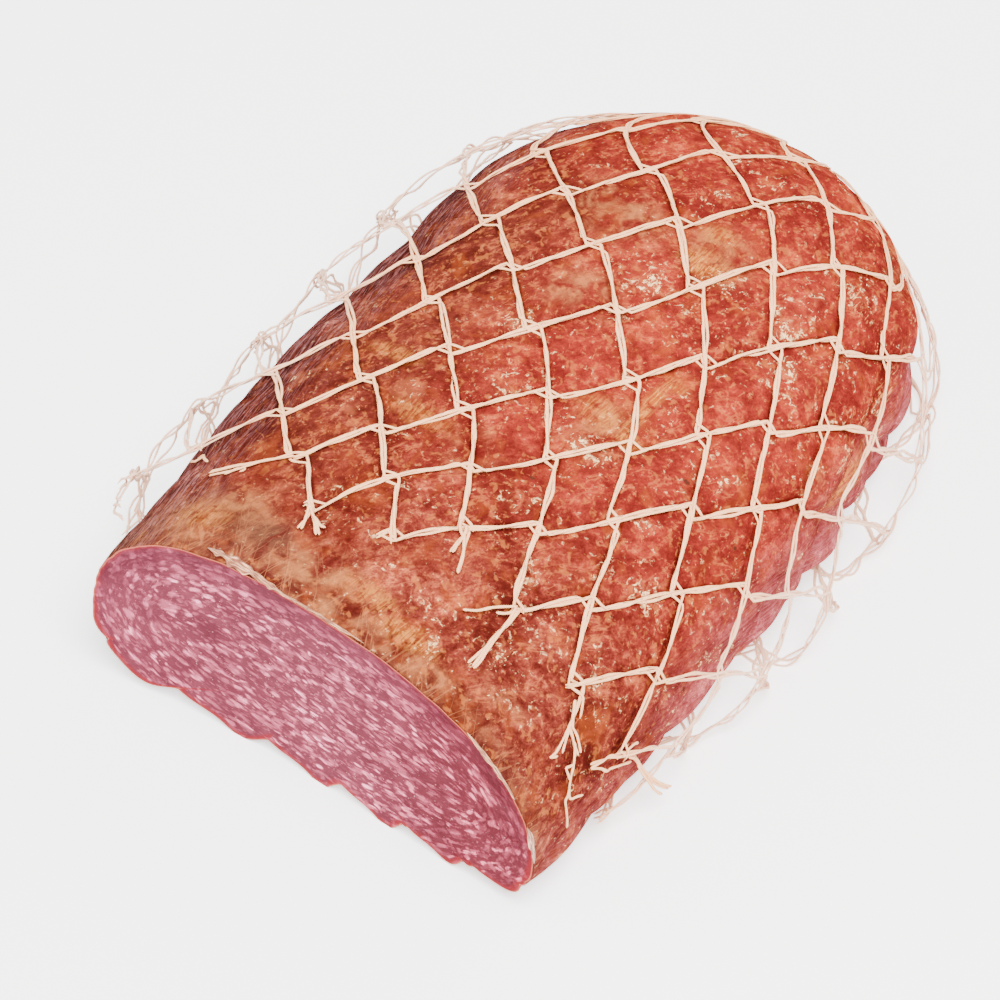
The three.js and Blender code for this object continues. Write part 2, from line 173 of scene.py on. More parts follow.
def section_point(angle, y):
    """Cross-section at y: superellipse quarters, left and right of their own widths, shrunk by
    the rounding towards the far end."""
    past = np.clip((y / LENGTH - SHOULDER) / (1 - SHOULDER), 0, 1)
    rounding = np.maximum(1 - past ** ROUNDING[0], 0) ** (1 / ROUNDING[1])
    along = np.clip(y / LENGTH, 0, 1)
    top = TIP_HEIGHT + (HEIGHT - TIP_HEIGHT) * rounding ** TOP_ROUNDING
    low = TIP_HEIGHT * (1 - np.sqrt(np.maximum(1 - past ** LOW_ROUNDING, 0)))
    c, s = np.cos(angle), np.sin(angle)
    middle = low + np.where(c < 0, BELLY_LEFT, BELLY_RIGHT) / HEIGHT * (top - low)
    wide = np.where(s < 0, LOWER_FULLNESS[0], UPPER_FULLNESS[0])
    high = np.where(s < 0, LOWER_FULLNESS[1], UPPER_FULLNESS[1])
    half = np.where(c < 0, LEFT_HALF, RIGHT_HALF) * rounding * (1 + SWELL * along)
    x = half * signed_power(c, 2 / wide) + SIDE_BEND * along ** 2
    z = middle + np.where(s > 0, top - middle, middle - low) * signed_power(s, 2 / high)
    return np.stack(np.broadcast_arrays(x, y, z), -1)


def arc_table(points):
    """Length from the first point to each point of a line."""
    return np.concatenate([[0], np.cumsum(np.linalg.norm(np.diff(points, axis=0), axis=-1))])


girth_angles = math.pi / 2 - 2 * math.pi * np.linspace(0, 1, 1441)
girth_arc = arc_table(section_point(girth_angles, np.full_like(girth_angles, LENGTH / 5)))
GIRTH = girth_arc[-1]
girth_shares = girth_arc / GIRTH
run_ys = LENGTH * (1 - (1 - np.linspace(0, 1, 2001)) ** 3)
run_arc = arc_table(section_point(np.full_like(run_ys, math.pi / 2), run_ys))
TOP_RUN = run_arc[-1]


def plain_skin(turn, run):
    """Point of the skin without its pillows: the turn gives the angle by girth, the run gives y."""
    angle = np.interp(np.mod(turn, 1), girth_shares, girth_angles)
    y = np.where(run < 0, run, np.interp(run, run_arc, run_ys))
    return section_point(angle, y)


def unit(vectors):
    return vectors / np.maximum(np.linalg.norm(vectors, axis=-1, keepdims=True), 1e-12)


def skin_normal(turn, run):
    """Outward direction: the step round the girth crossed with the step along it."""
    ahead = np.minimum(run + 0.4, TOP_RUN - 0.02)
    around = plain_skin(turn + 0.003, run) - plain_skin(turn - 0.003, run)
    along = plain_skin(turn, ahead) - plain_skin(turn, run - 0.4)
    return unit(np.cross(around, along))


def cut_surface(x, z):
    """y of the cut over x and z: a lean, a bulge on the left and one at the lower left."""
    side = np.clip((-CUT_SIDE_FROM - x) / CUT_SIDE_SPAN, 0, 1.2) ** 2
    low_side = np.clip((-CUT_LOW_FROM - x) / CUT_LOW_SPAN, 0, 1.2)
    low = low_side * np.clip(1 - z / CUT_LOW_TOP, 0, 1)
    return CUT_LEAN * z - CUT_SIDE_BULGE * side - CUT_LOW_BULGE * low


def follow_cut(points):
    """Shifts points along y by the shape of the cut, fading out towards the far end."""
    moved = points.copy()
    moved[..., 1] += (1 - points[..., 1] / LENGTH) * cut_surface(points[..., 0], points[..., 2])
    return moved


def set_down(points, floor):
    """Points of the body lowered onto the table, but not below the floor, and moved by the cut."""
    points[..., 2] = np.maximum(points[..., 2] - REST_SINK, floor)
    return follow_cut(points)


def net_place(around, along):
    """Turn and run of a place of the net: an even lattice, swayed and sagged by slow waves round
    the body that fade out towards the far end, and moved by a bell wherever it has slipped."""
    s, back = np.sin(WAVE * around), 1 - np.cos(WAVE * around)
    askew = 1 - ease((along - STRAIGHT_FROM) / (STRAIGHT_BY - STRAIGHT_FROM))
    turn = around / MESHES_ROUND + TURN_OFFSET + askew * (
        TURN_SWAY * s - TURN_PULL * back - TURN_TWIN * np.sin(2 * WAVE * around)
        + along * (TURN_SWAY_GROWTH * s - TURN_PULL_GROWTH * (1 - back)))
    run = NET_START + MESH_LENGTH * along + askew * (
        (RUN_SWAY + RUN_SWAY_GROWTH * along) * s - RUN_SAG * back + RUN_SAG_BACK * back ** 2)
    for slip_around, slip_along, wide, long, aside, down in SLIPS:
        near = wrapped(around - slip_around, MESHES_ROUND)
        moved = bell(near / wide, (along - slip_along) / long)
        turn, run = turn + moved * aside / GIRTH, run + moved * down
    return turn, np.minimum(run, TOP_RUN - 0.5)


def groove_depth(turn, run):
    """How deep the strings press in, in mm."""
    place = wrapped(turn)
    top = GROOVE_TOP * (GROOVE_AT_CUT + (1 - GROOVE_AT_CUT) * ease(run / GROOVE_RISE))
    under = GROOVE_UNDER * ease((np.abs(place) - UNDER_FROM) / UNDER_SPAN)
    right = bell((place - RIGHT_FLANK) / RIGHT_SPREAD)
    deeper = RIGHT_DEEP * ease((run - RIGHT_DEEP_FROM) / RIGHT_DEEP_RISE)
    change = 1 + right * (deeper - RIGHT_SHALLOW)
    under = under * (1 + CUT_SCALLOPS * (1 - ease(run / SCALLOP_SPAN)))
    return (top + under) * change * (1 - ease((run - GROOVE_END) / GROOVE_FADE))


def pillow(around, along, lean=0):
    """0 on the strings, 1 in a mesh: in its middle, or to one side where the pillow leans."""
    sides = []
    for place in (around + along, around - along):
        place = place + lean * (1 - np.cos(2 * math.pi * place)) / (2 * math.pi)
        sides.append(np.abs(np.sin(math.pi * place)))
    return (sides[0] * sides[1]) ** PILLOW_SHARPNESS


def near_end(around):
    """Along number where the net is cut back, at a place round the girth."""
    place = wrapped(around, MESHES_ROUND)
    return NET_NEAR_END - sum(
        further * np.exp(-(((place - at) / reach) ** 4)) for at, reach, further in OVERHANGS)


def slackness(turn, run):
    """How far the net stands off: a bell round the girth at each flank, faded at its ends."""
    return sum(off * bell((wrapped(turn) - at) / wide) * ease((run - start) / rise)
               * (1 - ease((run - end) / SLACK_FADE)) for at, wide, off, start, rise, end in SLACKS)


def body_swell(turn, run):
    """How far the body stands out from its plain shape, in mm: soft hills and a hollow."""
    return sum(out * bell((wrapped(turn) - at) / wide, (run - middle) / long)
               for at, middle, wide, long, out in SWELLS)


LUMP_CELLS = 32


def lumps(points, size, seed):
    """Smooth random field between -1 and 1: random heights on a cubic grid, joined smoothly."""
    heights = np.random.default_rng(seed).uniform(-1, 1, (LUMP_CELLS,) * 3)
    place = points / np.asarray(size)
    cell = np.floor(place).astype(int)
    share = ease(place - cell)
    total = 0
    for corner in np.ndindex(2, 2, 2):
        weight = np.prod(np.where(corner, share, 1 - share), axis=-1)
        at = np.mod(cell + np.array(corner), LUMP_CELLS)
        total = total + weight * heights[at[..., 0], at[..., 1], at[..., 2]]
    return total


# Into the frame

low, high = (np.array(corner) * 1000 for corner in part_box("salami"))
turns, runs = np.meshgrid(np.linspace(0, 1, 721), np.linspace(60, 170, 56))
body = follow_cut(plain_skin(turns, runs))
SHIFT = np.array([
    (body[..., 0].min() + body[..., 0].max() - low[0] - high[0]) / 2, LENGTH - high[1], 0])


def into_frame(points):
    """From mm with the cut at y = 0 to metres in the frame."""
    return (points - SHIFT) / 1000


def add_object(name, data):
    made = bpy.data.objects.new(name, data)
    bpy.context.scene.collection.objects.link(made)
    return made


def make_piece(name, points, faces, uv_maps, values=None):
    """A mesh object of points in mm, faces as lists of point numbers, UV maps as one pair for
    each corner of each face, and values as named numbers, one for each point."""
    mesh = bpy.data.meshes.new(name)
    mesh.from_pydata(into_frame(points.reshape(-1, 3)), [], faces)
    for key, pairs in uv_maps.items():
        layer = mesh.uv_layers.new(name=key)
        layer.data.foreach_set("uv", np.asarray(pairs, np.float32).ravel())
    for key, numbers in (values or {}).items():
        attribute = mesh.attributes.new(key, "FLOAT", "POINT")
        attribute.data.foreach_set("value", np.asarray(numbers, np.float32).ravel())
    mesh.polygons.foreach_set("use_smooth", np.ones(len(mesh.polygons), bool))
    mesh.update()
    return add_object(name, mesh)


def quad_corners(grid, flip):
    """What a grid holds at the four corners of each of its quads."""
    corners = np.stack([grid[:-1, :-1], grid[:-1, 1:], grid[1:, 1:], grid[1:, :-1]], 2)
    corners = corners.reshape(-1, 4, *grid.shape[2:])
    return corners[:, ::-1] if flip else corners


def grid_faces(rows, columns, closed, flip=False):
    """Quads of a grid of rows by columns points. Closed joins the last column to the first."""
    grid = np.arange(rows * columns).reshape(rows, columns)
    return quad_corners(np.concatenate([grid, grid[:, :int(closed)]], 1), flip).tolist()


def grid_uv(u, v, flip=False):
    """UV of each quad's corners. Each of u and v is known at every point of the grid, or u along
    its columns and v along its rows."""
    u, v = np.broadcast_arrays(u, v if v.ndim == 2 else v[:, None])
    return quad_corners(np.stack([u, v], -1), flip).reshape(-1, 2)


def closed_faces(rings, flip=False):
    """Faces of closed rings of points, with a fan from the first ring to the point after all the
    rings, and one from the last ring to the point after that."""
    rows, count = rings.shape[:2]
    first = np.arange(count)
    second, pole = np.roll(first, -1), np.full(count, rows * count)
    ahead = (rows - 1) * count
    fans = np.stack([np.concatenate(corner) for corner in (
        (pole, first + ahead), (second, second + ahead), (first, pole + 1))], -1)
    return grid_faces(rows, count, True, flip) + (fans[:, ::-1] if flip else fans).tolist()


def closed_uv(u, v, flip=False):
    """UV of a grid of closed rings, and of the fans that close both ends, which take the nearest
    ring. u and v have one column more than the rings."""
    ends = [np.repeat(np.stack([u[row, :-1], v[row, :-1]], -1), 3, 0) for row in (0, -1)]
    return np.concatenate([grid_uv(u, v, flip), *ends])


def closed_values(field, behind, near_end, far_end):
    """A field over rings, repeated on the rings behind the first and given at both end points."""
    return np.concatenate([np.tile(field[0], len(behind)), field.ravel(), [near_end, far_end]])


BEHIND_SHARES = (1, 0.86, 0.72, 0.58, 0.44, 0.3, 0.16, 0.012)


def cut_middle(behind):
    """The middle of the cut, moved back by behind."""
    x, z = CUT_MIDDLE
    return np.array([[x, cut_surface(x, z) + behind, z]])


def inner_rings(edge, behind, shares):
    """Rings that close a piece behind the cut: the edge shrunk towards the middle by each share,
    from the smallest ring to the widest, each at the cut's own depth plus behind."""
    keep = (1 - np.array(shares[1:]))[:, None, None]
    rings = edge[None] * keep + cut_middle(0) * (1 - keep)
    rings[..., 1] = cut_surface(rings[..., 0], rings[..., 2]) + behind
    return rings


# Where the strings end

STRINGS = range(-MESHES_ROUND // 2, MESHES_ROUND // 2)
# The way of a string: a column's knots are row numbers, which rise towards the cut, and a row's
# knots are column numbers, which fall
COLUMN, ROW = 1, -1
# Lengths past the last knot, in mesh sides, of the strings' cut ends that show
TAILS = {
    COLUMN: {-6: 0.9, -5: 0.12, -4: 0.05, -3: 0.12, -2: 0.05, -1: 0.05, 0: 0.45, 1: 0.1, 2: 0.15},
    ROW: {-1: 0.2, 0: 0.06, 1: 0.1, 2: 0.25, 3: 0.12, 4: 0.15, 5: 0.12}}
HIDDEN_TAIL = 0.28
MOST_KNOTS = 16


def string_knots(line, way):
    """Knots of one string from the far end to the last one kept."""
    knots = line - way * (2 * NET_FAR_END - np.arange(MOST_KNOTS))
    cut_off = way * (line - knots) / 2 < near_end((line + knots) / 2)
    return knots[:np.argmax(np.append(cut_off, True))]


def still_netted(around, along, way):
    """1 where the nearest string of one direction passes, 0 past that string's end."""
    ends = np.array([way * string_knots(line, way)[-1] + TAILS[way].get(line, HIDDEN_TAIL)
                     for line in STRINGS])
    line = np.round(around + way * along).astype(int)
    lap = MESHES_ROUND * ((line - STRINGS.start) // MESHES_ROUND)
    position = way * (around - way * along - lap)
    return 1 - ease((position - ends[line - lap - STRINGS.start]) / END_FADE + 0.5)


# Salami skin

SKIN_AROUND = 392
SKIN_ALONG = 224
SKIN_LAST = 3.92  # along number of the last ring before the tip
SKIN_BEHIND, FACE_BEHIND = 1.3, 0.8
BARE_SWELL = 0.45  # how full the pillows' hollows are where there is no net
TIP_CALM = 12  # mm before the tip where the skin turns smooth
BARE_EDGE, BARE_TO, BARE_FADE = 0.5, 0.26, 0.06  # in meshes past the net's end, and in turns
# Lumps of the skin, and wrinkles along its left flank: height and width in mm, and seed
SKIN_LUMPS = ((0.28, 11, 3), (0.16, 4.5, 4))
WRINKLE_HEIGHT, WRINKLE_WIDTHS, WRINKLE_SEED = 0.22, (2.4, 17, 9), 5
WRINKLED_FROM, WRINKLED_TO, WRINKLED_FADE = 0.14, 0.36, 0.06  # turns to the left


def along_at_cut(around):
    """Along number where the net's lattice, carried on, meets the cut: where its run is 0, found
    in a few equal steps."""
    along = np.full_like(around, -NET_START / MESH_LENGTH)
    for _ in range(14):
        along = along - net_place(around, along)[1] / MESH_LENGTH
    return along


def skin_surface(around, along):
    """Skin with its pillows, lumps and wrinkles: the plain skin moved in by the groove depth
    where the pillow is low, and in and out by random fields, then set on the table."""
    turn, run = net_place(around, along)
    plain = plain_skin(turn, run)
    place = wrapped(turn)
    wrinkled = (ease((-place - WRINKLED_FROM) / WRINKLED_FADE)
                * ease((place + WRINKLED_TO) / WRINKLED_FADE))
    chart = np.stack([turn * GIRTH, run, 0 * run], -1)
    bumpy = sum(high * lumps(plain, wide, seed) for high, wide, seed in SKIN_LUMPS)
    bumpy = bumpy + WRINKLE_HEIGHT * wrinkled * lumps(chart, WRINKLE_WIDTHS, WRINKLE_SEED)
    bare = (ease((near_end(around) - along) / BARE_EDGE)
            * ease((BARE_TO - np.abs(place)) / BARE_FADE))
    low_down = ease((np.abs(place) - UNDER_FROM) / UNDER_SPAN) * (1 - ease(run / SCALLOP_SPAN))
    swell = pillow(around, along, SCALLOP_LEAN * low_down)
    swell = swell + bare * (BARE_SWELL + (1 - BARE_SWELL) * ease(swell) - swell)
    sunk = groove_depth(turn, run) * (1 - swell)
    out = bumpy * ease((TOP_RUN - run) / TIP_CALM) - sunk + body_swell(turn, run)
    points = plain + skin_normal(turn, run) * out[..., None]
    return set_down(points, 0), turn, run


SPOT_EDGE = 1.5  # 1 is a spot that fades slowly, more gives it a clearer edge


def spots_at(turn, run, spots):
    """The strongest of some soft oval spots at each place."""
    total = np.zeros_like(run)
    for spot_turn, spot_run, wide, long, strength in spots:
        round_to = (wrapped(turn) - spot_turn) * GIRTH / wide
        far = round_to ** 2 + ((run - spot_run) / long) ** 2
        total = np.maximum(total, strength * np.exp(-far ** SPOT_EDGE))
    return total


# Soft spots of the skin: turn, run, half width and half length in mm, and strength
SPOTS = {
    "pale": ((-0.044, 143, 14, 9, 1), (-0.016, 115, 9, 8, 1), (0.036, 148, 9, 8, 1),
        (0.061, 84, 7, 9, 0.8), (0, 207, 22, 8, 0.7), (-0.112, 17, 13, 6, 1),
        (0, 60, 10, 8, 0.4), (-0.018, 10, 11, 7, 1), (0.02, 3, 16, 4, 0.7),
        (0.08, 4, 20, 4, 0.9), (0.14, 14, 7, 5, 0.5), (-0.15, 6, 12, 6, 0.7),
        (0.175, 186, 6, 9, 0.7), (0.2, 120, 4, 5, 0.5)),
    "golden": ((0.0735, 101, 1.6, 6, 1), (0.0745, 93, 1.4, 6, 1), (0.079, 87, 3.5, 2.2, 0.9),
        (0.079, 107, 3, 2, 0.8), (0.052, 88, 6, 4, 0.6), (0.235, 132, 3, 12, 0.8),
        (0.034, 142, 6, 4, 0.9), (0.028, 152, 5, 3, 0.6), (-0.099, 75.6, 7, 2, 0.5),
        (-0.045, 62, 8, 3, 0.5), (0.022, 12, 8, 3, 0.6), (0.06, 9, 8, 3, 0.7),
        (-0.13, 12, 9, 5, 0.6)),
    "streaky": ((0.211, 150, 3, 14, 1), (0.214, 134, 3, 6, 0.8), (0.14, 164, 8, 5, 0.5)),
    "deep": ((-0.03, 22, 11, 6, 1), (-0.119, 27, 11, 4, 1), (-0.068, 22, 7, 4, 0.7),
        (0.02, 28, 12, 6, 0.4), (-0.05, 31, 12, 4, 0.6)),
    "flecked": ((-0.045, 100, 9, 8, 0.9), (0.011, 128, 12, 8, 1), (-0.015, 80, 9, 8, 1),
        (0.138, 34, 16, 8, 0.6), (0.129, 96, 8, 6, 0.8), (0.06, 140, 10, 6, 0.8),
        (0.1, 18, 16, 7, 0.5), (0.062, 78, 9, 5, 0.9), (0.035, 82, 7, 5, 0.8),
        (-0.1, 60, 7, 5, 0.7), (0.16, 60, 7, 6, 0.7), (0.03, 178, 12, 6, 0.7),
        (0.19, 120, 6, 5, 0.8), (0.02, 45, 9, 5, 0.6), (0.111, 148, 8, 9, 1),
        (0.135, 165, 9, 5, 1.1), (0.125, 130, 9, 6, 1), (0.155, 147, 6, 5, 1.1),
        (0.141, 125, 6, 5, 0.9), (-0.0594, 33, 5, 3, 1.1), (-0.109, 20.5, 5, 3, 0.8),
        (-0.1495, 60, 4, 4, 1.1), (-0.135, 66, 4, 3, 1.1), (-0.065, 66, 5, 4, 1.2),
        (-0.092, 56, 4, 3, 0.9)),
    "olive": ((-0.078, 12, 13, 7, 0.7), (-0.07, 12.5, 8, 5, 1)),
    "bloom": ((-0.165, 10, 10, 8, 0.5), (-0.19, 4, 8, 5, 0.5), (-0.135, 17, 8, 5, 0.3)),
    "speck": ((0.048, 62.5, 0.9, 0.7, 1), (0.129, 89, 1.1, 0.8, 1),
        (0.188, 88, 1, 0.8, 0.9), (0.25, 59, 1.4, 1, 0.8), (-0.03, 141, 0.9, 0.8, 0.8)),
}
RIM_LEFT, RIM_RIGHT = 15, 5.5  # width in mm of the tan band at the cut
LIFTED = 2.5  # mm off the skin from which the net casts no painted shadow line or painted shade on it

across = np.linspace(0, MESHES_ROUND, SKIN_AROUND + 1)
start = along_at_cut(across)
steps = np.linspace(0, 1, SKIN_ALONG + 1)[:, None]
along = start[None, :-1] + (SKIN_LAST - start[None, :-1]) * steps
around = np.broadcast_to(across[None, :-1], along.shape)
skin, skin_turn, skin_run = skin_surface(around, along)
place = wrapped(skin_turn)

rim_width = RIM_RIGHT + (RIM_LEFT - RIM_RIGHT) * (1 - ease((place + 0.02) / 0.09))
touching = 1 - ease(slackness(skin_turn, skin_run) / LIFTED)
# How much of each look there is at each place of the skin, by turn and run
skin_values = {
    "column_there": touching * still_netted(around, along, COLUMN),
    "row_there": touching * still_netted(around, along, ROW),
    "rim": bell(skin_run / rim_width) * ease((0.3 - np.abs(place)) / 0.05),
    "brown": np.exp(-(skin_run / 60) ** 4) * ease((place + 0.1) / 0.1),
    "sienna": ease((0.01 - place) / 0.11) * (1 - ease((skin_run - 120) / 60)),
    **{key: spots_at(skin_turn, skin_run, spots) for key, spots in SPOTS.items()},
    # partly the left flank's own dusky purple-brown, partly painted shade, as if the light falls
    # from the right
    "dusky_and_shaded": (ease((-place - 0.115) / 0.075) * (1 - 0.7 * ease((-place - 0.2) / 0.07))
             * (1 - 0.6 * ease((skin_run - 180) / 20))),
    # partly the right flank's own mauve, partly painted sheen: a pale pinkish haze towards its edge
    "mauve_and_sheen": (ease((place - 0.215 + 0.024 * ease((skin_run - 20) / 60)) / 0.085)
              * (0.4 + 0.6 * ease((skin_run - 30) / 60)) * (1 - 0.7 * ease((place - 0.28) / 0.08))
              * (1 - 0.6 * ease((skin_run - 185) / 15))),
    "far_tip": ease((skin_run - 180) / 20),
}
tip = follow_cut(section_point(np.array([math.pi / 2]), np.array([LENGTH]))) - [[0, 0, REST_SINK]]
inner = inner_rings(skin[0], SKIN_BEHIND, BEHIND_SHARES)
rings = np.concatenate([inner, skin])


def padded(field, lap=0):
    """A field of the skin with its first ring repeated behind the cut and, to close the rings, its
    first column again, one lap on."""
    field = np.concatenate([field, field[:, :1] + lap], 1)
    return np.concatenate([np.repeat(field[:1], len(inner), 0), field])


salami_skin = make_piece(
    "salami_skin", np.concatenate([rings.reshape(-1, 3), cut_middle(SKIN_BEHIND), tip]),
    closed_faces(rings), {
        "surface": closed_uv(padded(skin_turn, 1) * GIRTH / 100, padded(skin_run) / 100),
        "lattice": closed_uv(padded(around, MESHES_ROUND), padded(along))},
    {key: closed_values(field, inner, field[0, 0], field[-1, 0])
     for key, field in skin_values.items()})


# Cut face

CUT_AROUND = 784
CUT_RINGS = 116
SWIRLS_APART = 46  # mm from the middle to each of the two swirls of the grain
# Fat grains: how many, shortest and longest, thinnest and widest, and seed
BIG_GRAINS = (1500, (1.6, 5.6), (0.9, 2.2), 31)
SMALL_GRAINS = (5600, (0.7, 2.3), (0.45, 1), 32)
GRAIN_STRAY = 0.16  # how far a grain's angle strays from its neighbours'
GRAIN_SKIRT = 1.6  # how far a grain's fading skirt reaches, in half lengths
GRAIN_RELIEF, FACE_RELIEF = 0.05, 0.1  # mm
FLOW_STRAY, FLOW_SIZE, FLOW_SEEDS = 0.55, 2.1, (61, 62, 63)  # bends the grains' outlines, mm
RASTER_STEP = 0.2
RASTER_X, RASTER_Z = -72 + np.arange(730) * RASTER_STEP, -3 + np.arange(400) * RASTER_STEP


def grain_direction(x, z):
    """Angle of a flat oval with its ends at the face's two swirls, through each place: grains
    lie along it, so that they follow the width in the middle and the rim at both ends."""
    x, z = x - CUT_MIDDLE[0], z - CUT_MIDDLE[1]
    left = np.arctan2(z, x + SWIRLS_APART)
    right = np.arctan2(z, x - SWIRLS_APART)
    return (left + right) / 2 + math.pi / 2


def grain_field(count, length, width, seed):
    """Fat grains over the cut face, on a raster: the highest of many ovals, each 1 in its middle
    and 0 at its edge, and the tone of the grain that is highest. Returns a lookup."""
    grid_x, grid_z = np.meshgrid(RASTER_X, RASTER_Z)
    field, tone = np.full_like(grid_x, -1), np.zeros_like(grid_x)
    make = np.random.default_rng(seed)
    xs, zs = make.uniform(-68, 68, count), make.uniform(0, 72, count)
    halves = make.uniform(*length, count) / 2
    thins = make.uniform(*width, count) / 2
    tilts = grain_direction(xs, zs) + make.normal(0, GRAIN_STRAY, count)
    tones = make.uniform(0, 1, count)
    for x, z, half, thin, tilt, shade in zip(xs, zs, halves, thins, tilts, tones):
        i, j = int((x - RASTER_X[0]) / RASTER_STEP), int((z - RASTER_Z[0]) / RASTER_STEP)
        reach = int(half * GRAIN_SKIRT / RASTER_STEP) + 2
        window = slice(max(j - reach, 0), j + reach), slice(max(i - reach, 0), i + reach)
        dx, dz = grid_x[window] - x, grid_z[window] - z
        long = (dx * math.cos(tilt) + dz * math.sin(tilt)) / half
        short = (dz * math.cos(tilt) - dx * math.sin(tilt)) / thin
        height = 1 - np.sqrt(long ** 2 + short ** 2)
        higher = height > field[window]
        field[window][higher], tone[window][higher] = height[higher], shade

    def lookup(x, z, grid):
        i = np.clip((x - RASTER_X[0]) / RASTER_STEP, 0, len(RASTER_X) - 2)
        j = np.clip((z - RASTER_Z[0]) / RASTER_STEP, 0, len(RASTER_Z) - 2)
        i0, j0 = i.astype(int), j.astype(int)
        a, b = i - i0, j - j0
        return ((grid[j0, i0] * (1 - a) + grid[j0, i0 + 1] * a) * (1 - b)
                + (grid[j0 + 1, i0] * (1 - a) + grid[j0 + 1, i0 + 1] * a) * b)

    return lambda x, z: (lookup(x, z, field), lookup(x, z, tone))


places = np.linspace(0, MESHES_ROUND, CUT_AROUND, endpoint=False)
rim, _, _ = skin_surface(places, along_at_cut(places))
rim[:, 1] = cut_surface(rim[:, 0], rim[:, 2])
share = np.linspace(0, 1, CUT_RINGS + 1)[:-1, None, None]
middle = np.array([CUT_MIDDLE[0], 0, CUT_MIDDLE[1]])
face = rim[None] * (1 - share) + middle * share
around_rim = unit(np.roll(rim, -1, 0) - np.roll(rim, 1, 0))
outward = np.stack([-around_rim[:, 2], 0 * around_rim[:, 2], around_rim[:, 0]], -1)
outward *= np.sign(np.sum(outward * (rim - middle), -1, keepdims=True))
depth = share[..., 0] * np.sum((rim - middle) * outward, -1)[None]
stray = np.stack([lumps(face, FLOW_SIZE, seed) for seed in FLOW_SEEDS], -1)
flow = face * [1, 0, 1] + FLOW_STRAY * stray
flow = flow[..., 0], flow[..., 2]
big_grain, big_tone = grain_field(*BIG_GRAINS)(*flow)
small_grain, small_tone = grain_field(*SMALL_GRAINS)(*flow)
face[..., 1] = cut_surface(face[..., 0], face[..., 2])
face[..., 1] -= GRAIN_RELIEF * np.clip(big_grain * 3, 0, 1) * ease(depth / 1.5)
face[..., 1] += FACE_RELIEF * lumps(face, 7, 8) * ease(depth / 2)
behind = inner_rings(rim, FACE_BEHIND, (1, 0.75, 0.5, 0.25, 0.006))
rings = np.concatenate([behind, face])


def grain_uv():
    """UV of the face's faces in 100 mm: u runs along the grain and v across it. They are the two
    numbers of flat ovals with their ends at the face's swirls, v turned round below the middle."""
    x, z = (np.concatenate([rings[..., k], rings[:, :1, k]], 1) for k in (0, 2))
    place = np.arccosh((x - CUT_MIDDLE[0] + 1j * (z - CUT_MIDDLE[1])) / SWIRLS_APART)
    u = np.abs(place.imag) * SWIRLS_APART / 100
    v = np.abs(place.real) * np.sign(z - CUT_MIDDLE[1]) * SWIRLS_APART / 100
    return closed_uv(u, v, flip=True)


upper = ease((outward[:, 2] * np.ones_like(depth) + 0.2) / 0.5)
rosy = ease((face[..., 0] - 5) / 45)
cut_face = make_piece(
    "cut_face", np.concatenate([rings.reshape(-1, 3), cut_middle(FACE_BEHIND), cut_middle(0)]),
    closed_faces(rings, flip=True), {"grain": grain_uv()}, {
        key: closed_values(field, behind, hidden, field[-1].mean()) for key, field, hidden in (
            ("big_grain", big_grain, 0), ("big_tone", big_tone, 0.5),
            ("small_grain", small_grain, 0), ("small_tone", small_tone, 0.5),
            ("depth", depth, 0), ("upper", upper, 0.5), ("rosy", rosy, 0.3))})


# Torn casing film along the cut

FILM_STEP, FILM_ROWS = 0.35, 9  # mm between columns
FILM_WALL = 0.00012  # thickness in metres


def film_strip(name, from_turn, to_turn, back, width, curl, seed):
    """A ragged strip of casing that peels at the cut: it starts on the skin, back mm from the edge
    and nearer as it goes, curls up and may hang over the edge. Its width swells in the middle and
    is torn by a random line."""
    columns = int(abs(to_turn - from_turn) * GIRTH / FILM_STEP)
    turn = np.linspace(from_turn, to_turn, columns)
    swell = np.sin(np.linspace(0, math.pi, columns)) ** 0.5
    chart = np.stack([turn * GIRTH, 0 * turn, 0 * turn], -1)
    torn = 1 + 0.5 * lumps(chart, 1.6, seed) + 0.35 * lumps(chart, 5, seed + 1)
    reach = np.maximum(width * swell * torn, 0.12)
    over = np.linspace(-0.65, 1, FILM_ROWS)[:, None]
    away = np.interp(np.linspace(0, 1, columns), (0, 0.35, 0.75, 1), back)
    run = away[None] - over * reach[None] * 0.8
    lift = 0.14 + curl * np.maximum(over, 0) ** 1.6 * (0.7 + 0.5 * lumps(chart, 3, seed + 2))[None]
    lift = lift * swell[None] + 0.06
    turns = np.broadcast_to(turn, run.shape)
    hem = np.maximum(run, -0.25)
    points = plain_skin(turns, hem) + skin_normal(turns, hem + 0.5) * lift[..., None]
    points = set_down(points, -math.inf)
    points[..., 1] += run - hem
    points[..., 2] -= 0.35 * np.maximum(over - 0.4, 0) * reach[None]
    piece = make_piece(name, points, grid_faces(FILM_ROWS, columns, False, flip=True),
                       {"surface": grid_uv(turn * GIRTH / 100, over[:, 0] / 100, flip=True)})
    wall = piece.modifiers.new("wall", "SOLIDIFY")
    wall.thickness, wall.offset = FILM_WALL, 0
    return piece


# Each strip: from and to which turn, mm from the edge at four places along it, width, curl, seed
films = [film_strip("torn_film_" + name, *numbers) for name, *numbers in (
    ("flap", -0.1, -0.024, (2.6, 1.8, 0.6, 0), 2, 0.9, 41),
    ("line", -0.034, 0.042, (0.1, 0.3, 0.4, 0.6), 0.55, 0.35, 44),
    ("side", 0.135, 0.195, (0.4, 0, 0, 0), 0.7, 0.5, 47),
    ("corner", 0.222, 0.26, (0, 0, 0, 0), 1.3, 0.8, 50))]


# Net

def string_path(column, row):
    """Points on the net from column and row numbers: round is half their sum, along half their
    difference. The string lies in its groove, or stands off where it is slack."""
    around, along = (column + row) / 2, (column - row) / 2
    turn, run = net_place(around, along)
    normal = skin_normal(turn, run)
    slack = slackness(turn, run)
    sunk = groove_depth(turn, run) * STRING_BEDDING
    out = YARN_LIFT - sunk + np.maximum(slack, body_swell(turn, run))
    points = plain_skin(turn, run) + normal * out[..., None]
    return set_down(points, STRING_FLOOR), normal, slack


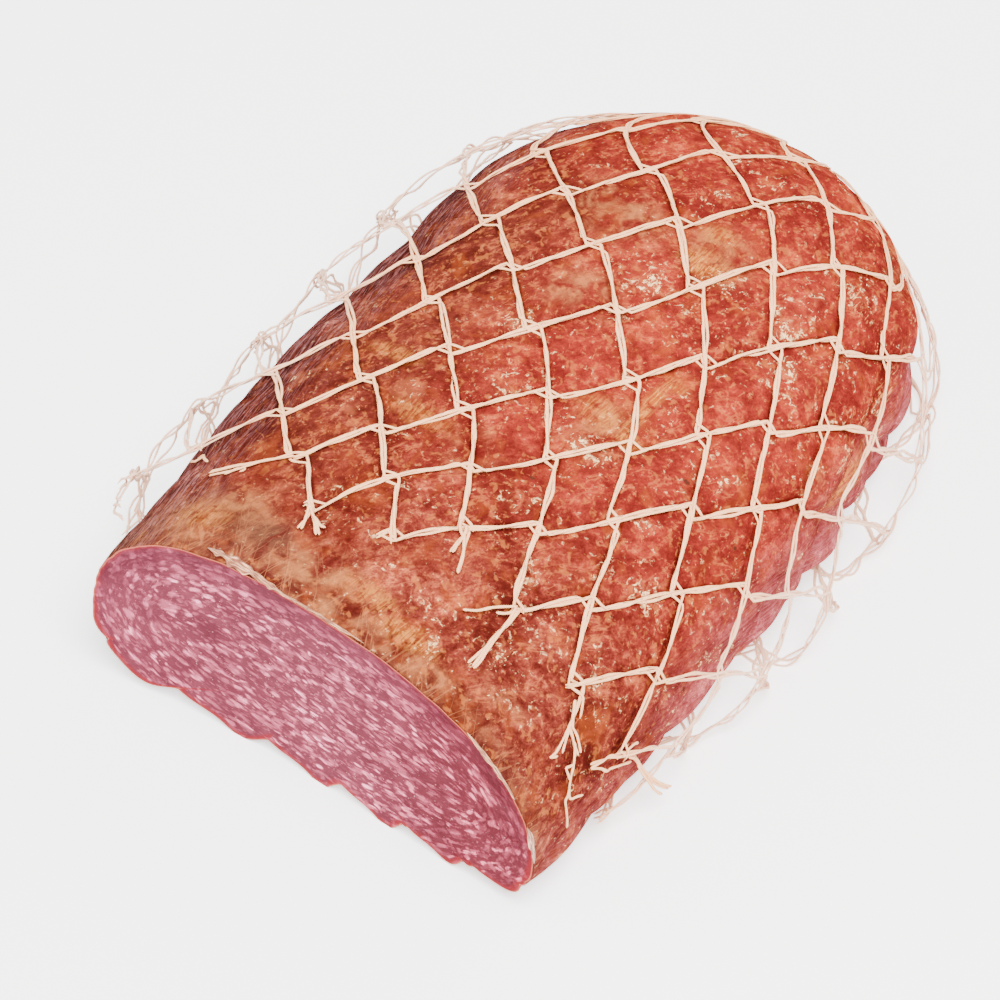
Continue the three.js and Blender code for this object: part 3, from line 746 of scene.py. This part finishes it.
def jogged(position, knot, span):
    """Sidestep of a yarn in mesh sides: it falls evenly from one jogging knot to the next, two
    knots on, and steps back within the span round the knot."""
    early, late = span
    place = np.mod(position - knot - early, 2) + early
    return np.interp(place, [early, late, 2 + early], [-JOG, JOG, -JOG])


def tube(centre, side, normal, wide, thick):
    """Rings of a flat oval carried along a line, closed at both ends."""
    sides = YARN_SIDES
    angle = np.linspace(0, 2 * math.pi, sides, endpoint=False)
    rings = (centre[:, None] + side[:, None] * (wide[:, None] * np.cos(angle))[..., None]
             + normal[:, None] * (thick[:, None] * np.sin(angle))[..., None])
    count = len(centre)
    faces = grid_faces(count, sides, True)
    faces.append(list(range(sides))[::-1])
    faces.append([(count - 1) * sides + k for k in range(sides)])
    along = arc_table(centre) / 100
    uv = grid_uv(np.linspace(0, 1, sides + 1), along)
    ends = np.stack([np.linspace(0, 1, sides), np.full(sides, along[0])], -1)
    return rings.reshape(-1, 3), faces, np.concatenate([uv, ends[::-1], ends])


def waves(position, seed, size):
    """A slow random wobble along a line: three sines of random phase."""
    make = np.random.default_rng(seed)
    lengths = size, size * 0.61, size * 0.37
    return sum(np.sin(2 * math.pi * position / length + make.uniform(0, 2 * math.pi))
               for length in lengths) / len(lengths)


def across_line(line, normal):
    """Directions sideways from a line on the skin and outwards, square to the line."""
    tangent = unit(np.gradient(line, axis=0))
    side = unit(np.cross(normal, tangent))
    return side, np.cross(tangent, side)


def yarn(centre, normal, slack, number, seed, fray):
    """One of a string's three yarns: it winds slowly round the string's middle line, wobbles a
    little, more where the net is slack, and strays past the string's end (fray over 0)."""
    side, normal = across_line(centre, normal)
    run = arc_table(centre)
    wave = {key: waves(run, seed + k, YARN_WAVES[key]) for k, key in enumerate(YARN_WAVES)}
    phase = 2 * math.pi * (run / YARN_TWIST + number / 3) + 1.3 * wave["twist"]
    loose = slack / FULL_SLACK
    spread = YARN_SPREAD * (1 + 0.25 * wave["spread"] + 1.6 * loose) + 1.2 * fray ** 1.5
    sway = spread * np.sin(phase) + (0.14 + 1.3 * loose) * wave["sway"]
    rise = (0.2 + 0.8 * loose) * np.cos(phase) + 0.5 * loose * wave["rise"]
    rise = np.maximum(rise, LOWEST_YARN) + 0.35 * fray
    points = centre + side * sway[:, None] + normal * rise[:, None]
    points[:, 2] = np.maximum(points[:, 2], TABLE_GAP)
    size = 1 + 0.2 * wave["size"]
    size = size * np.clip(0.35 + np.minimum(run, run[-1] - run) / 0.8, 0, 1)
    made = tube(points, *across_line(points, normal), size * YARN_WIDTH / 2,
                size * YARN_THICKNESS / 2)
    return (*made, np.repeat(slack, YARN_SIDES))


def gather(parts):
    """Joins tubes into one set of points, faces, UV and slackness."""
    points, part_faces, uv, slack = zip(*parts)
    firsts = np.cumsum([0, *map(len, points)])
    faces = [[first + k for k in face] for first, some in zip(firsts.tolist(), part_faces)
             for face in some]
    return (np.concatenate(points), faces, {"surface": np.concatenate(uv)},
            {"slack": np.concatenate(slack)})


def net_family(name, way, first_seed):
    """All strings of one direction: from the far end down to the last knot before the cut, each
    as three yarns whose cut ends differ a little in length."""
    parts = []
    for line in STRINGS:
        kept = string_knots(line, way)
        tail = TAILS[way].get(line, HIDDEN_TAIL)
        for number in range(3):
            length = abs(kept[-1] - kept[0]) + tail * (1 - 0.4 * rng.random() * (number > 0))
            position = kept[0] + way * np.linspace(0, length, int(length / STRING_STEP))
            past = np.clip((position - kept[-1]) * way, 0, 2)
            place = line + jogged(position, line + (way == ROW), JOG_SPANS[number]), position
            seed = first_seed + 40 * (line + 8) + 10 * number
            parts.append(yarn(*string_path(*place[::way]), number, seed, past))
    return make_piece(name, *gather(parts))


# Yarns that have come loose from the cut ends: how many lie together, and their places as turn,
# run and height over the skin
LOOSE_YARNS = (
    (3, ((0.104, 32.3, 0.5), (0.105, 25.6, 0.6), (0.106, 19.5, 0.6), (0.106, 13, 0.5))),
    (1, ((0.102, 32.6, 0.6), (0.098, 31.2, 0.5), (0.0894, 28.4, 0.4), (0.0837, 25.2, 0.5),
         (0.0765, 22.8, 0.6))),
    (1, ((0.105, 31.7, 0.5), (0.0994, 29.4, 0.4), (0.0937, 28, 0.5))),
    (3, ((0.038, 41.4, 0.5), (0.0408, 40.2, 0.7), (0.0422, 37.8, 0.7), (0.0436, 33.1, 0.5))),
    (2, ((0.0408, 40.5, 0.4), (0.046, 36.6, 0.5), (0.0508, 34, 0.5), (0.0579, 29.8, 0.4))),
    (1, ((0.032, 42.5, 0.4), (0.0325, 41, 0.4), (0.0365, 39.2, 0.5), (0.0422, 37.8, 0.9))),
    (2, ((-0.0595, 25, 0.5), (-0.0579, 23.3, 0.6), (-0.0551, 20.5, 0.6), (-0.0522, 17.2, 0.7))),
    (2, ((-0.0595, 25, 0.5), (-0.053, 22.6, 0.6), (-0.0465, 20.9, 0.6), (-0.0379, 18.1, 0.7))),
    (1, ((-0.051, 22, 0.5), (-0.0479, 21.4, 0.6), (-0.0422, 20.5, 0.6), (-0.037, 20.4, 0.9))),
    (3, ((0.1755, 27.5, 0.6), (0.1867, 22.8, 0.6), (0.1896, 22.3, 0.6), (0.1967, 21.9, 0.5),
         (0.2082, 20.9, 0.5))),
    (1, ((0.1825, 24.5, 0.5), (0.1838, 23.3, 0.5), (0.1881, 19.5, 0.5), (0.191, 15.8, 0.6),
         (0.191, 13.5, 0.7), (0.1938, 14, 0.7), (0.196, 15.8, 0.6))),
    (1, ((0.184, 23.2, 0.5), (0.1867, 21.9, 0.5), (0.1896, 20, 0.5), (0.1953, 16.7, 0.7))),
    (1, ((0.199, 21.9, 0.6), (0.2039, 20.5, 0.5), (0.211, 18.1, 0.5), (0.2167, 16.3, 0.5),
         (0.2268, 14.9, 0.5), (0.2339, 14.9, 0.5), (0.2368, 16.7, 0.6), (0.2396, 18.6, 0.9))),
    (1, ((0.211, 18.4, 0.6), (0.2096, 17.7, 0.6), (0.2067, 15.8, 0.8), (0.2139, 15.6, 0.7),
         (0.2196, 15.8, 0.6))),
    (1, ((0.2245, 15, 0.5), (0.2282, 13.9, 0.5), (0.231, 12.5, 0.5), (0.2439, 12.1, 0.5),
         (0.2582, 12.1, 0.6))),
    (1, ((0.2482, 39.6, 0.6), (0.2439, 38.2, 0.8), (0.2425, 35, 0.9), (0.2482, 35, 0.7),
         (0.2568, 36.4, 0.6))),
    (2, ((0.25, 36.5, 0.5), (0.2468, 34.5, 0.6), (0.2339, 29.8, 0.7), (0.231, 27, 0.7),
         (0.2253, 22.8, 0.6))),
    (1, ((0.2253, 22.8, 0.6), (0.2353, 25.2, 0.5), (0.2454, 28, 0.5), (0.2454, 29.4, 0.7),
         (0.2525, 33.1, 0.6), (0.2611, 37.3, 0.6))),
    (2, ((0.252, 36, 0.6), (0.2597, 37.8, 0.8), (0.2768, 40, 2), (0.2911, 42.5, 5),
         (0.3, 46, 8))),
    (1, ((0.255, 36.5, 0.5), (0.2654, 38.2, 0.9), (0.2768, 38.6, 2.5), (0.2926, 40.5, 5.5),
         (0.3, 43.5, 8))),
    (1, ((-0.205, 35.5, 0.7), (-0.199, 33.6, 0.8), (-0.191, 32.4, 0.8), (-0.184, 33.6, 0.8),
         (-0.19, 35, 0.7), (-0.2, 35, 0.6))),
    (1, ((-0.184, 33.6, 0.6), (-0.176, 31.5, 0.6), (-0.167, 29.6, 0.8))),
    (3, ((-0.1, 36, 0.5), (-0.1137, 32.3, 0.6), (-0.1252, 29.4, 0.6), (-0.1395, 27, 0.6),
         (-0.1538, 25.2, 0.5))),
    (1, ((-0.131, 28, 0.5), (-0.136, 26.4, 0.6), (-0.1385, 25.2, 0.9))),
    (1, ((-0.128, 29, 0.5), (-0.1245, 27.6, 0.6), (-0.126, 26.2, 0.9))),
)


LINE_STEP = 0.25  # mm between two points of a loose yarn
LOOSE_CLOSE = 0.5  # distance between loose yarns that lie together, in yarn widths
LOOSE_FRAY = 0.35  # how far they part towards their end
LOOSE_SEED = 7000


def smooth_line(places):
    """A line through places (turn, run, height): between two of them it is the cubic whose slopes
    there are half the step from the place before to the place after."""
    places = np.array(places)
    before = np.concatenate([places[:1], places[:-2]])
    after = np.concatenate([places[2:], places[-1:]])
    first, second = places[:-1], places[1:]
    span = np.linalg.norm((second - first) * [GIRTH, 1, 1], axis=1)
    parts = []
    for a, b, c, d, size in zip(before, first, second, after, span):
        t = np.linspace(0, 1, max(int(size / LINE_STEP), 3), endpoint=False)[:, None]
        slope_b, slope_c = (c - a) / 2, (d - b) / 2
        bend = t * (1 - t) * ((1 - t) * slope_b - t * slope_c)
        parts.append(b + (c - b) * ease(t) + bend)
    return np.concatenate([*parts, places[-1:]]).T


def loose_piece(name):
    """The loose yarns, laid on the skin along smooth lines through their places."""
    parts = []
    for index, (count, places) in enumerate(LOOSE_YARNS):
        turn, run, height = smooth_line(places)
        normal = skin_normal(turn, run)
        centre = set_down(plain_skin(turn, run) + normal * height[:, None], STRING_FLOOR)
        share = np.linspace(0, 1, len(turn))
        for number in range(count):
            aside = LOOSE_CLOSE * (number - (count - 1) / 2) * YARN_WIDTH
            line = centre + across_line(centre, normal)[0] * aside
            parts.append(yarn(line, normal, 0 * share, number, LOOSE_SEED + 10 * index + number,
                              LOOSE_FRAY * share * (count > 1)))
    return make_piece(name, *gather(parts))


net_columns = net_family("net_columns", COLUMN, 4500)
net_rows = net_family("net_rows", ROW, 1000)
net_frays = loose_piece("net_frays")


# Materials

def srgb(red, green, blue):
    """A colour given as it looks on a screen, 0 to 255, in the linear values that nodes take."""
    values = np.array([red, green, blue]) / 255
    linear = np.where(values <= 0.04045, values / 12.92, ((values + 0.055) / 1.055) ** 2.4)
    return (*linear.tolist(), 1)


class Tree:
    """A node tree and short ways to fill it. Inputs are plain values or fields."""

    def __init__(self, tree):
        self.tree = tree

    def feed(self, node, inputs):
        for key, value in inputs.items():
            if isinstance(value, Field):
                self.tree.links.new(value.socket, node.inputs[key])
            else:
                node.inputs[key].default_value = value

    def add(self, kind, inputs=None, **settings):
        made = self.tree.nodes.new(kind)
        for key, value in settings.items():
            setattr(made, key, value)
        self.feed(made, inputs or {})
        return made

    def field(self, kind, inputs=None, output=0, **settings):
        return Field(self, self.add(kind, inputs, **settings).outputs[output])

    def value_of(self, name):
        return self.field("ShaderNodeAttribute", None, "Fac", attribute_name=name)

    def space(self):
        """The piece's own coordinates, in mm."""
        return self.field("ShaderNodeTexCoord", None, "Object").stretch(1000, 1000, 1000)

    def chart(self, name, wide=100, long=100):
        return self.field("ShaderNodeUVMap", uv_map=name).stretch(wide, long)

    def use(self, group, *values):
        made = self.add("ShaderNodeGroup", node_tree=group)
        self.feed(made, dict(enumerate(values)))
        return Field(self, made.outputs[0])


def maths(operation):
    """A way to join a field with another value: by a node of this operation."""
    def joined(self, other=0):
        return self.tree.field("ShaderNodeMath", {0: self, 1: other}, operation=operation)
    return joined


class Field:
    """An output of a node. What is worked out from it is made of new nodes in its tree: a | b is
    the larger of two values, and a & b the smaller."""

    def __init__(self, tree, socket):
        self.tree, self.socket = tree, socket

    __add__, __sub__, __mul__ = maths("ADD"), maths("SUBTRACT"), maths("MULTIPLY")
    __truediv__, __abs__ = maths("DIVIDE"), maths("ABSOLUTE")
    __or__, __and__ = maths("MAXIMUM"), maths("MINIMUM")
    nearest, fraction, cosine = maths("ROUND"), maths("FRACT"), maths("COSINE")

    def __rsub__(self, other):
        return self.tree.field("ShaderNodeMath", {0: other, 1: self}, operation="SUBTRACT")

    def cover(self, under, over, blend="MIX"):
        """The colour under, covered by the colour over as far as this field says."""
        under, over = (srgb(*c) if isinstance(c, tuple) else c for c in (under, over))
        return self.tree.field("ShaderNodeMix", {0: self, 6: under, 7: over}, 2,
                               data_type="RGBA", blend_type=blend)

    def step(self, low, high):
        """0 below low, 1 above high, smooth between. Low over high turns it round."""
        return self.tree.field(
            "ShaderNodeMapRange", {"Value": self, "From Min": low, "From Max": high}, "Result",
            interpolation_type="SMOOTHSTEP")

    def noise(self, scale, detail, roughness=0.5, distortion=0):
        return self.tree.field("ShaderNodeTexNoise", {
            "Vector": self, "Scale": scale, "Detail": detail, "Roughness": roughness,
            "Distortion": distortion}, "Fac")

    def stretch(self, x, y, z=1, move=(0, 0, 0)):
        return self.tree.field("ShaderNodeMapping",
                               {"Vector": self, "Location": move, "Scale": (x, y, z)})

    def turned(self, angle):
        return self.tree.field("ShaderNodeVectorRotate", {"Vector": self, "Angle": angle},
                               rotation_type="Z_AXIS")

    def parts(self):
        made = self.tree.add("ShaderNodeSeparateXYZ", {0: self})
        return [Field(self.tree, socket) for socket in made.outputs]

    def ramp(self, stops):
        """A colour that runs through the stops, each a place from 0 to 1 and a colour."""
        made = self.tree.add("ShaderNodeValToRGB", {"Fac": self})
        points = made.color_ramp.elements
        for place, _ in stops[2:]:
            points.new(place)
        for point, (place, colour) in zip(points, stops):
            point.position, point.color = place, srgb(*colour)
        return Field(self.tree, made.outputs["Color"])

    def bump(self, strength, distance):
        return self.tree.field("ShaderNodeBump", {
            "Height": self, "Strength": strength, "Distance": distance})


def covered(colour, layers):
    """The colour under a list of layers, from the lowest up, each a mask and its colour."""
    for mask, over in layers:
        colour = mask.cover(colour, over)
    return colour


def marks_group(name, limit, noise, mask_of):
    """A node group that turns a stretched noise into a mask of small marks. Long and Wide are the
    marks' size in mm, and the last input is the limit that the mask is cut at."""
    group = bpy.data.node_groups.new(name, "ShaderNodeTree")
    for key in ("Place", "Long", "Wide", "Turn", limit):
        kind = "NodeSocketVector" if key == "Place" else "NodeSocketFloat"
        group.interface.new_socket(key, in_out="INPUT", socket_type=kind)
    group.interface.new_socket("Mask", in_out="OUTPUT", socket_type="NodeSocketFloat")
    tree = Tree(group)
    given = tree.add("NodeGroupInput").outputs
    place, long, wide, turn, limit = (Field(tree, given[k]) for k in range(5))
    size = tree.field("ShaderNodeCombineXYZ", {0: long, 1: wide, 2: 1})
    scaled = tree.field("ShaderNodeVectorMath", {0: place.turned(turn), 1: size},
                        operation="DIVIDE")
    tree.add("NodeGroupOutput", {"Mask": mask_of(scaled.noise(*noise), limit)})
    return group


# Scattered ragged flecks: more of the noise is over the limit as the amount rises
FLECKS = marks_group("flecks", "Amount", (1, 2.5, 0.62, 0.5), lambda field, amount: (
    field - (0.8 - amount * 0.26)).step(0, 0.05))
# Fine hair-like lines: where the noise passes through its middle value
CREASES = marks_group("creases", "Thin", (1, 3, 0.55, 0.6), lambda field, thin: abs(
    field - 0.5).step(thin, 0))


def make_material(name, looks):
    """A material with one Principled shader, whose inputs looks(tree) gives."""
    material = bpy.data.materials.new(name)
    material.use_nodes = True
    material.node_tree.nodes.clear()
    tree = Tree(material.node_tree)
    tree.add("ShaderNodeOutputMaterial", {
        "Surface": tree.field("ShaderNodeBsdfPrincipled", looks(tree))})
    return material


def string_gap(across, down, shift):
    """Distance from the nearest string of one direction, in mesh sides. A string keeps to a whole
    number of across, but steps aside at every second knot and drifts back until the next."""
    line = across.nearest()
    aside = JOG - ((down - (line + shift)) / 2).fraction() * (2 * JOG)
    return abs(across - line - aside)


def tones(*colours, places=(0.3, 0.42, 0.54, 0.66, 0.8)):
    """Colours from dark to light, at their places on a tone from 0 to 1."""
    return tuple(zip(places, colours))


RED = tones((90, 23, 19), (106, 30, 24), (126, 38, 29), (149, 52, 36), (192, 85, 53))
SIENNA = tones((65, 20, 15), (76, 27, 20), (91, 35, 27), (110, 47, 34), (157, 79, 54))
TAN = tones((54, 17, 12), (68, 26, 20), (88, 40, 31), (116, 65, 41), (166, 102, 60))
BROWN = tones((55, 15, 11), (69, 24, 18), (93, 37, 29), (125, 58, 43), (190, 102, 66))
MAUVE_AND_SHEEN = tones((98, 35, 36), (113, 44, 46), (133, 58, 61), (162, 80, 83), (222, 132, 132))
DUSKY_AND_SHADED = tones((52, 17, 14), (65, 26, 21), (86, 38, 32), (110, 56, 50), (164, 98, 88),
             places=(0.3, 0.42, 0.55, 0.67, 0.8))
DEEP = tones((62, 14, 9), (76, 21, 15), (92, 31, 22), (130, 58, 42), places=(0.3, 0.45, 0.6, 0.8))
PALE = tones((96, 46, 30), (120, 67, 40), (152, 93, 54), places=(0.35, 0.5, 0.65))
OLIVE = tones((64, 36, 30), (80, 48, 36), (104, 64, 43), places=(0.35, 0.5, 0.65))
MEAT = tones((80, 28, 38), (96, 39, 51), (118, 52, 66), (140, 64, 81), (172, 84, 104),
             (222, 118, 142), (250, 160, 184), places=(0, 0.2, 0.4, 0.55, 0.72, 0.9, 1))
ROSY = tones((70, 17, 23), (84, 25, 34), (102, 36, 48), (126, 50, 63), (172, 76, 92),
             (232, 124, 142), places=(0, 0.2, 0.4, 0.6, 0.8, 1))


def casing_looks(tree):
    """Red meat seen through a thin satin casing: marbling in soft tones, a tan band at the cut, a
    dusky left flank, partly its own colour and partly painted shade, and a right one partly its
    own mauve and partly painted sheen, with cream flecks, partly the casing's own and partly
    painted glints, pale and golden patches, dark specks, fine creases with painted shade in the
    left flank's furrows, and painted shadow lines beside the strings, by which the pillows also
    darken with painted shade."""
    space, flat = tree.space(), tree.chart("surface")
    around, along, _ = tree.field("ShaderNodeUVMap", uv_map="lattice").parts()
    columns, rows = around + along, around - along
    column_gap, row_gap = string_gap(columns, rows, 0), string_gap(rows, columns, 1)
    (column_there, row_there, sienna, dusky_and_shaded, mauve_and_sheen, rim, flecked) = map(tree.value_of, (
        "column_there", "row_there", "sienna", "dusky_and_shaded", "mauve_and_sheen", "rim", "flecked"))

    # painted shade beside the strings, for the pillows' darker edges and the dark lines
    def string_shade(far, near):
        return column_gap.step(far, near) * column_there | row_gap.step(far, near) * row_there

    def patch(name, noise, low, high):
        return tree.value_of(name) * noise.step(low, high)

    def creases(long, wide, turn, thin):
        return tree.use(CREASES, flat, long, wide, turn, thin)

    def flecks(long, wide, turn, amount):
        return tree.use(FLECKS, flat, long, wide, turn, amount)

    broad = space.noise(0.045, 2, 0.5, 0.5)
    patchy = space.noise(0.15, 4, 0.55, 0.9)
    fine = space.noise(0.55, 4, 0.6, 0.7)
    grit = space.noise(1.9, 3, 0.6)
    drawn = flat.turned(0.68).stretch(1 / 2, 1 / 3.6).noise(1, 3, 0.6, 1.5)
    drawn = tree.value_of("far_tip").cover(drawn, patchy)
    tone = broad * 0.5 + patchy * 0.7 + (fine * 0.4 + grit * 0.32) + drawn * 0.46
    # painted shade: the tone falls beside the strings, so each pillow darkens towards its grooves
    tone = tone - (string_shade(0.26, 0.03) * 0.07 + 0.675)
    cloudy = tone * 0.5 + patchy * 0.5

    wisps = creases(3.5, 8, 0.6, 0.05) * patchy.step(0.48, 0.62)
    swirls = creases(6, 7, -0.4, 0.03) * fine.step(0.5, 0.6)
    golden = patch("golden", fine, 0.3, 0.55)
    dots = space.noise(0.42, 2, 0.5, 0.4).step(0.58, 0.7) * (1 - (dusky_and_shaded | mauve_and_sheen))
    fibres = creases(5, 36, -0.5, 0.016) | creases(5, 36, 0.35, 0.016)
    threads = fibres * rim * 0.8
    strokes = creases(1.1, 13, -0.12, 0.06) * dusky_and_shaded
    furrows = creases(1.7, 16, -0.2, 0.06) * dusky_and_shaded
    streaks = creases(1.2, 14, 0.2, 0.08) * mauve_and_sheen
    band = tree.value_of("streaky").step(0.1, 0.5) * flecks(0.8, 4.2, 0.12, 0.9)

    crowd = flecked * 0.5 + space.noise(0.11, 3, 0.55).step(0.52, 0.72) * 0.7
    calm = dusky_and_shaded * 0.5 | (sienna * 0.6 | rim * 0.6)
    amount = (crowd + 0.04 & 0.92) * (1 - calm)
    curls = creases(3.4, 4.6, 0.5, 0.045) * (amount * 0.2 + fine).step(0.6, 0.72)
    marks = flecks(1.2, 2.6, 0.75, amount) | flecks(1.5, 2, -0.6, amount) | curls * 0.8
    marks = marks * grit.step(0.25, 0.5) * (1 - sienna * flecked.step(0.7, 0.2) * 0.65)
    speck = (tree.value_of("speck") + grit * 0.5).step(0.6, 0.95)

    colour = covered(tone.ramp(RED), (
        (sienna, tone.ramp(SIENNA)),
        (tree.value_of("brown") * 0.85, tone.ramp(BROWN)),
        (wisps * 0.45 | swirls * 0.6, (180, 96, 54)),
        (rim * patchy.step(0.25, 0.45) * 0.95, cloudy.ramp(TAN)),
        # the right flank's mauve, partly its own colour and partly painted sheen
        (mauve_and_sheen, tone.ramp(MAUVE_AND_SHEEN)),
        # the left flank's dusky colour, partly its own and partly painted shade
        (dusky_and_shaded, tone.ramp(DUSKY_AND_SHADED)),
        (patch("pale", patchy, 0.35, 0.6) * 0.8, cloudy.ramp(PALE)),
        (golden * 0.75, (160, 84, 26)),
        (golden * creases(1.4, 9, 0.1, 0.1) * 0.7, (212, 142, 66)),
        (space.noise(0.1, 3, 0.6, 1).step(0.5, 0.75) * 0.4, (150, 66, 26)),
        (dots * 0.36, (190, 106, 50)),
        (patch("olive", patchy, 0.2, 0.45) * 0.85, cloudy.ramp(OLIVE)),
        (patch("deep", patchy, 0.25, 0.45) * 0.8, tone.ramp(DEEP)),
        (patch("bloom", fine, 0.25, 0.55) * 0.75, (128, 84, 68)),
        (threads * 0.45, (186, 116, 74)),
        (strokes * 0.6, (158, 106, 106)),
        # painted shade: near-black lines in the furrows of the left flank's wrinkles
        (furrows * 0.75, (34, 10, 11)),
        (streaks * 0.3, (186, 108, 110)),
        (band * 0.85, (204, 132, 76)),
        (crowd.step(0.3, 1) * 0.3, (172, 90, 56)),
        # cream flecks, partly the casing's own mould and fat and partly painted glints, as the
        # casing has no specular
        (marks * 0.92, (253, 204, 144)),
        (speck * 0.85, (60, 34, 26))))
    # painted shadow: a dark line along each string where it lies on the skin
    colour = (string_shade(0.07, 0.035) * 0.65).cover(colour, (146, 104, 104), "MULTIPLY")
    relief = fine * 0.6 + marks * 0.3 + strokes * 0.8 - furrows * 1.4 + threads * 0.15
    return {
        "Base Color": colour, "Roughness": fine * 0.3 + 0.3, "Specular IOR Level": 0,
        "Normal": relief.bump(0.6, 0.0006)}


def cut_looks(tree):
    """Cut meat: rose-mauve lean with paler fat grains from the mesh's own fields, their edges
    broken by fine noise, darker towards the rim, with a rosy edge and a thin pale casing line."""
    space = tree.space()
    depth, upper = tree.value_of("depth"), tree.value_of("upper")
    fine = space.noise(0.8, 4, 0.6, 0.5)
    grit = space.noise(2.6, 3, 0.6)
    brushed = tree.chart("grain").stretch(0.34, 1.7).noise(1, 4, 0.62, 0.4)
    ragged = (fine - 0.5) * 0.5 + (brushed - 0.5) * 0.9
    big = (tree.value_of("big_grain") + ragged).step(-0.1, 0.5)
    small = (tree.value_of("small_grain") + ragged).step(0, 0.55)
    near = depth.step(12, 1) * upper
    fat = (big * (tree.value_of("big_tone") * 0.65 + 0.35)
           | small * (tree.value_of("small_tone") * 0.45 + 0.2)) * (1 - near * 0.45)
    tone = fat * 0.68 + space.noise(0.09, 3, 0.5, 0.5) * 0.6
    tone = tone + (brushed * 0.45 + grit * 0.3) - 0.4
    colour = tree.value_of("rosy").cover(tone.ramp(MEAT), tone.ramp(ROSY))
    colour = (near * 0.35).cover(colour, (200, 165, 190), "MULTIPLY")
    edge = (depth + fine * 1.6 + upper).step(3.3, 1.8)
    line = (depth + grit * 0.5).step(0.75, 0.45)
    glint = space.noise(1.5, 2).step(0.7, 0.76) * depth.step(3, 8)
    pit = space.stretch(1, 1, 1, move=(40, 0, 9)).noise(1.1, 2).step(0.74, 0.78)
    colour = covered(colour, (
        (edge * 0.7, (132, 24, 32)), (line * 0.7, (200, 110, 84)),
        (glint * 0.7, (250, 176, 176)), (pit * 0.8, (70, 20, 24))))
    return {
        "Base Color": colour, "Roughness": fine * 0.2 + 0.42, "Specular IOR Level": 0.01,
        "Normal": (big * 0.5 + fine * 0.6).bump(0.5, 0.0004)}


def string_looks(tree):
    """Cream cotton yarn: fine fibres along it, short dark slits here and there between them that
    are painted shade in the gaps, painted shade along the yarn's edges, and paler where the net
    hangs slack, which is painted light.
    """
    flat = tree.chart("surface", 1, 100)
    fibres = flat.stretch(9, 0.7).noise(1, 3, 0.6)
    # painted shade: short dark slits where the gaps between the yarns fall into shade
    slit_shade = flat.stretch(5, 0.3).noise(1, 1).step(0.68, 0.72)
    stain = tree.space().noise(0.12, 2).step(0.58, 0.78)
    # painted shade along the two flat edges of each yarn, where yarns meet
    sides = abs((flat.parts()[0] * (2 * math.pi)).cosine()).step(0.8, 1)
    cream = fibres.step(0.3, 0.7).cover((244, 170, 118), (255, 200, 148))
    colour = covered(cream, (
        (stain * 0.4, (222, 146, 98)), (sides * 0.35, (176, 110, 76)),
        (slit_shade * 0.8, (96, 74, 62)),
        # painted light: strings paler where the net hangs slack, as if more brightly lit
        (tree.value_of("slack").step(0.5, 5) * 0.8, (236, 196, 170))))
    return {
        "Base Color": colour, "Roughness": 0.8, "Specular IOR Level": 0.2,
        "Normal": fibres.bump(0.5, 0.0003)}


def film_looks(tree):
    """Thin dry casing torn loose: whitish, streaked, satin."""
    cloud = tree.space().noise(0.5, 4, 0.6).step(0.38, 0.62)
    folds = tree.chart("surface").stretch(0.22, 3.2).noise(1, 3, 0.6, 0.3).step(0.46, 0.62)
    colour = folds.cover(cloud.cover((112, 58, 42), (152, 90, 64)), (248, 184, 138))
    return {
        "Base Color": colour, "Roughness": 0.45, "Normal": folds.bump(0.5, 0.0004)}


casing, cut_meat, net_string, torn_film = (make_material(name, looks) for name, looks in (
    ("casing", casing_looks), ("cut_meat", cut_looks), ("net_string", string_looks),
    ("torn_film", film_looks)))
for piece, material, node, slot in (
        (salami_skin, casing, "salami", "casing"),
        (cut_face, cut_meat, "salami", "cut_meat"),
        (net_columns, net_string, "net", "net_string"),
        (net_rows, net_string, "net", "net_string"),
        (net_frays, net_string, "net", "net_string"),
        *((film, torn_film, "salami", "casing") for film in films)):
    piece.data.materials.append(material)
    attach(piece, "root")
    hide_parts(node)


# Table, light and camera

def place_facing(thing, away, place):
    """Sets a light or the camera at a place, looking against the direction away."""
    thing.location = place
    thing.rotation_euler = Vector(away).to_track_quat("Z", "Y").to_euler()


LIGHTS_AIM = Vector((0, 0, 0.03))
# Square soft lights: name, direction from the aim, distance and side in metres, and power
for name, direction, distance, size, power in (
        ("key", (0.35, -0.25, 1.1), 1.3, 0.7, 62), ("fill", (-0.9, -0.9, 0.7), 1.5, 1.2, 17),
        ("back", (0.1, 1, 0.8), 1.5, 1, 11)):
    lamp = bpy.data.lights.new(name, "AREA")
    lamp.size, lamp.energy = size, power
    away = Vector(direction).normalized()
    place_facing(add_object(name, lamp), away, LIGHTS_AIM + away * distance)

world = bpy.data.worlds.new("studio")
world.use_nodes = True
background = world.node_tree.nodes["Background"].inputs
background["Color"].default_value = (1, 1, 1, 1)
background["Strength"].default_value = 0.69
bpy.context.scene.world = world

TABLE_REACH = 4
table_mesh = bpy.data.meshes.new("table")
table_mesh.from_pydata([(x * TABLE_REACH, y * TABLE_REACH, 0) for x, y in (
    (-1, -1), (1, -1), (1, 1), (-1, 1))], [], [(0, 1, 2, 3)])
table = add_object("table", table_mesh)
table.data.materials.append(make_material("table", lambda tree: {
    "Base Color": srgb(250, 249, 248), "Roughness": 0.9, "Emission Color": (1, 1, 1, 1),
    "Emission Strength": 1.3}))

azimuth, elevation = math.radians(VIEW_AZIMUTH), math.radians(VIEW_ELEVATION)
backward = np.array([math.sin(azimuth) * math.cos(elevation),
                     -math.cos(azimuth) * math.cos(elevation), math.sin(elevation)])
lens = bpy.data.cameras.new("camera")
lens.sensor_width = 36
lens.lens = lens.sensor_width * VIEW_FOCAL_SHARE
camera = add_object("camera", lens)
place_facing(camera, backward, into_frame(VIEW_TARGET + backward * VIEW_DISTANCE))
bpy.context.scene.camera = camera
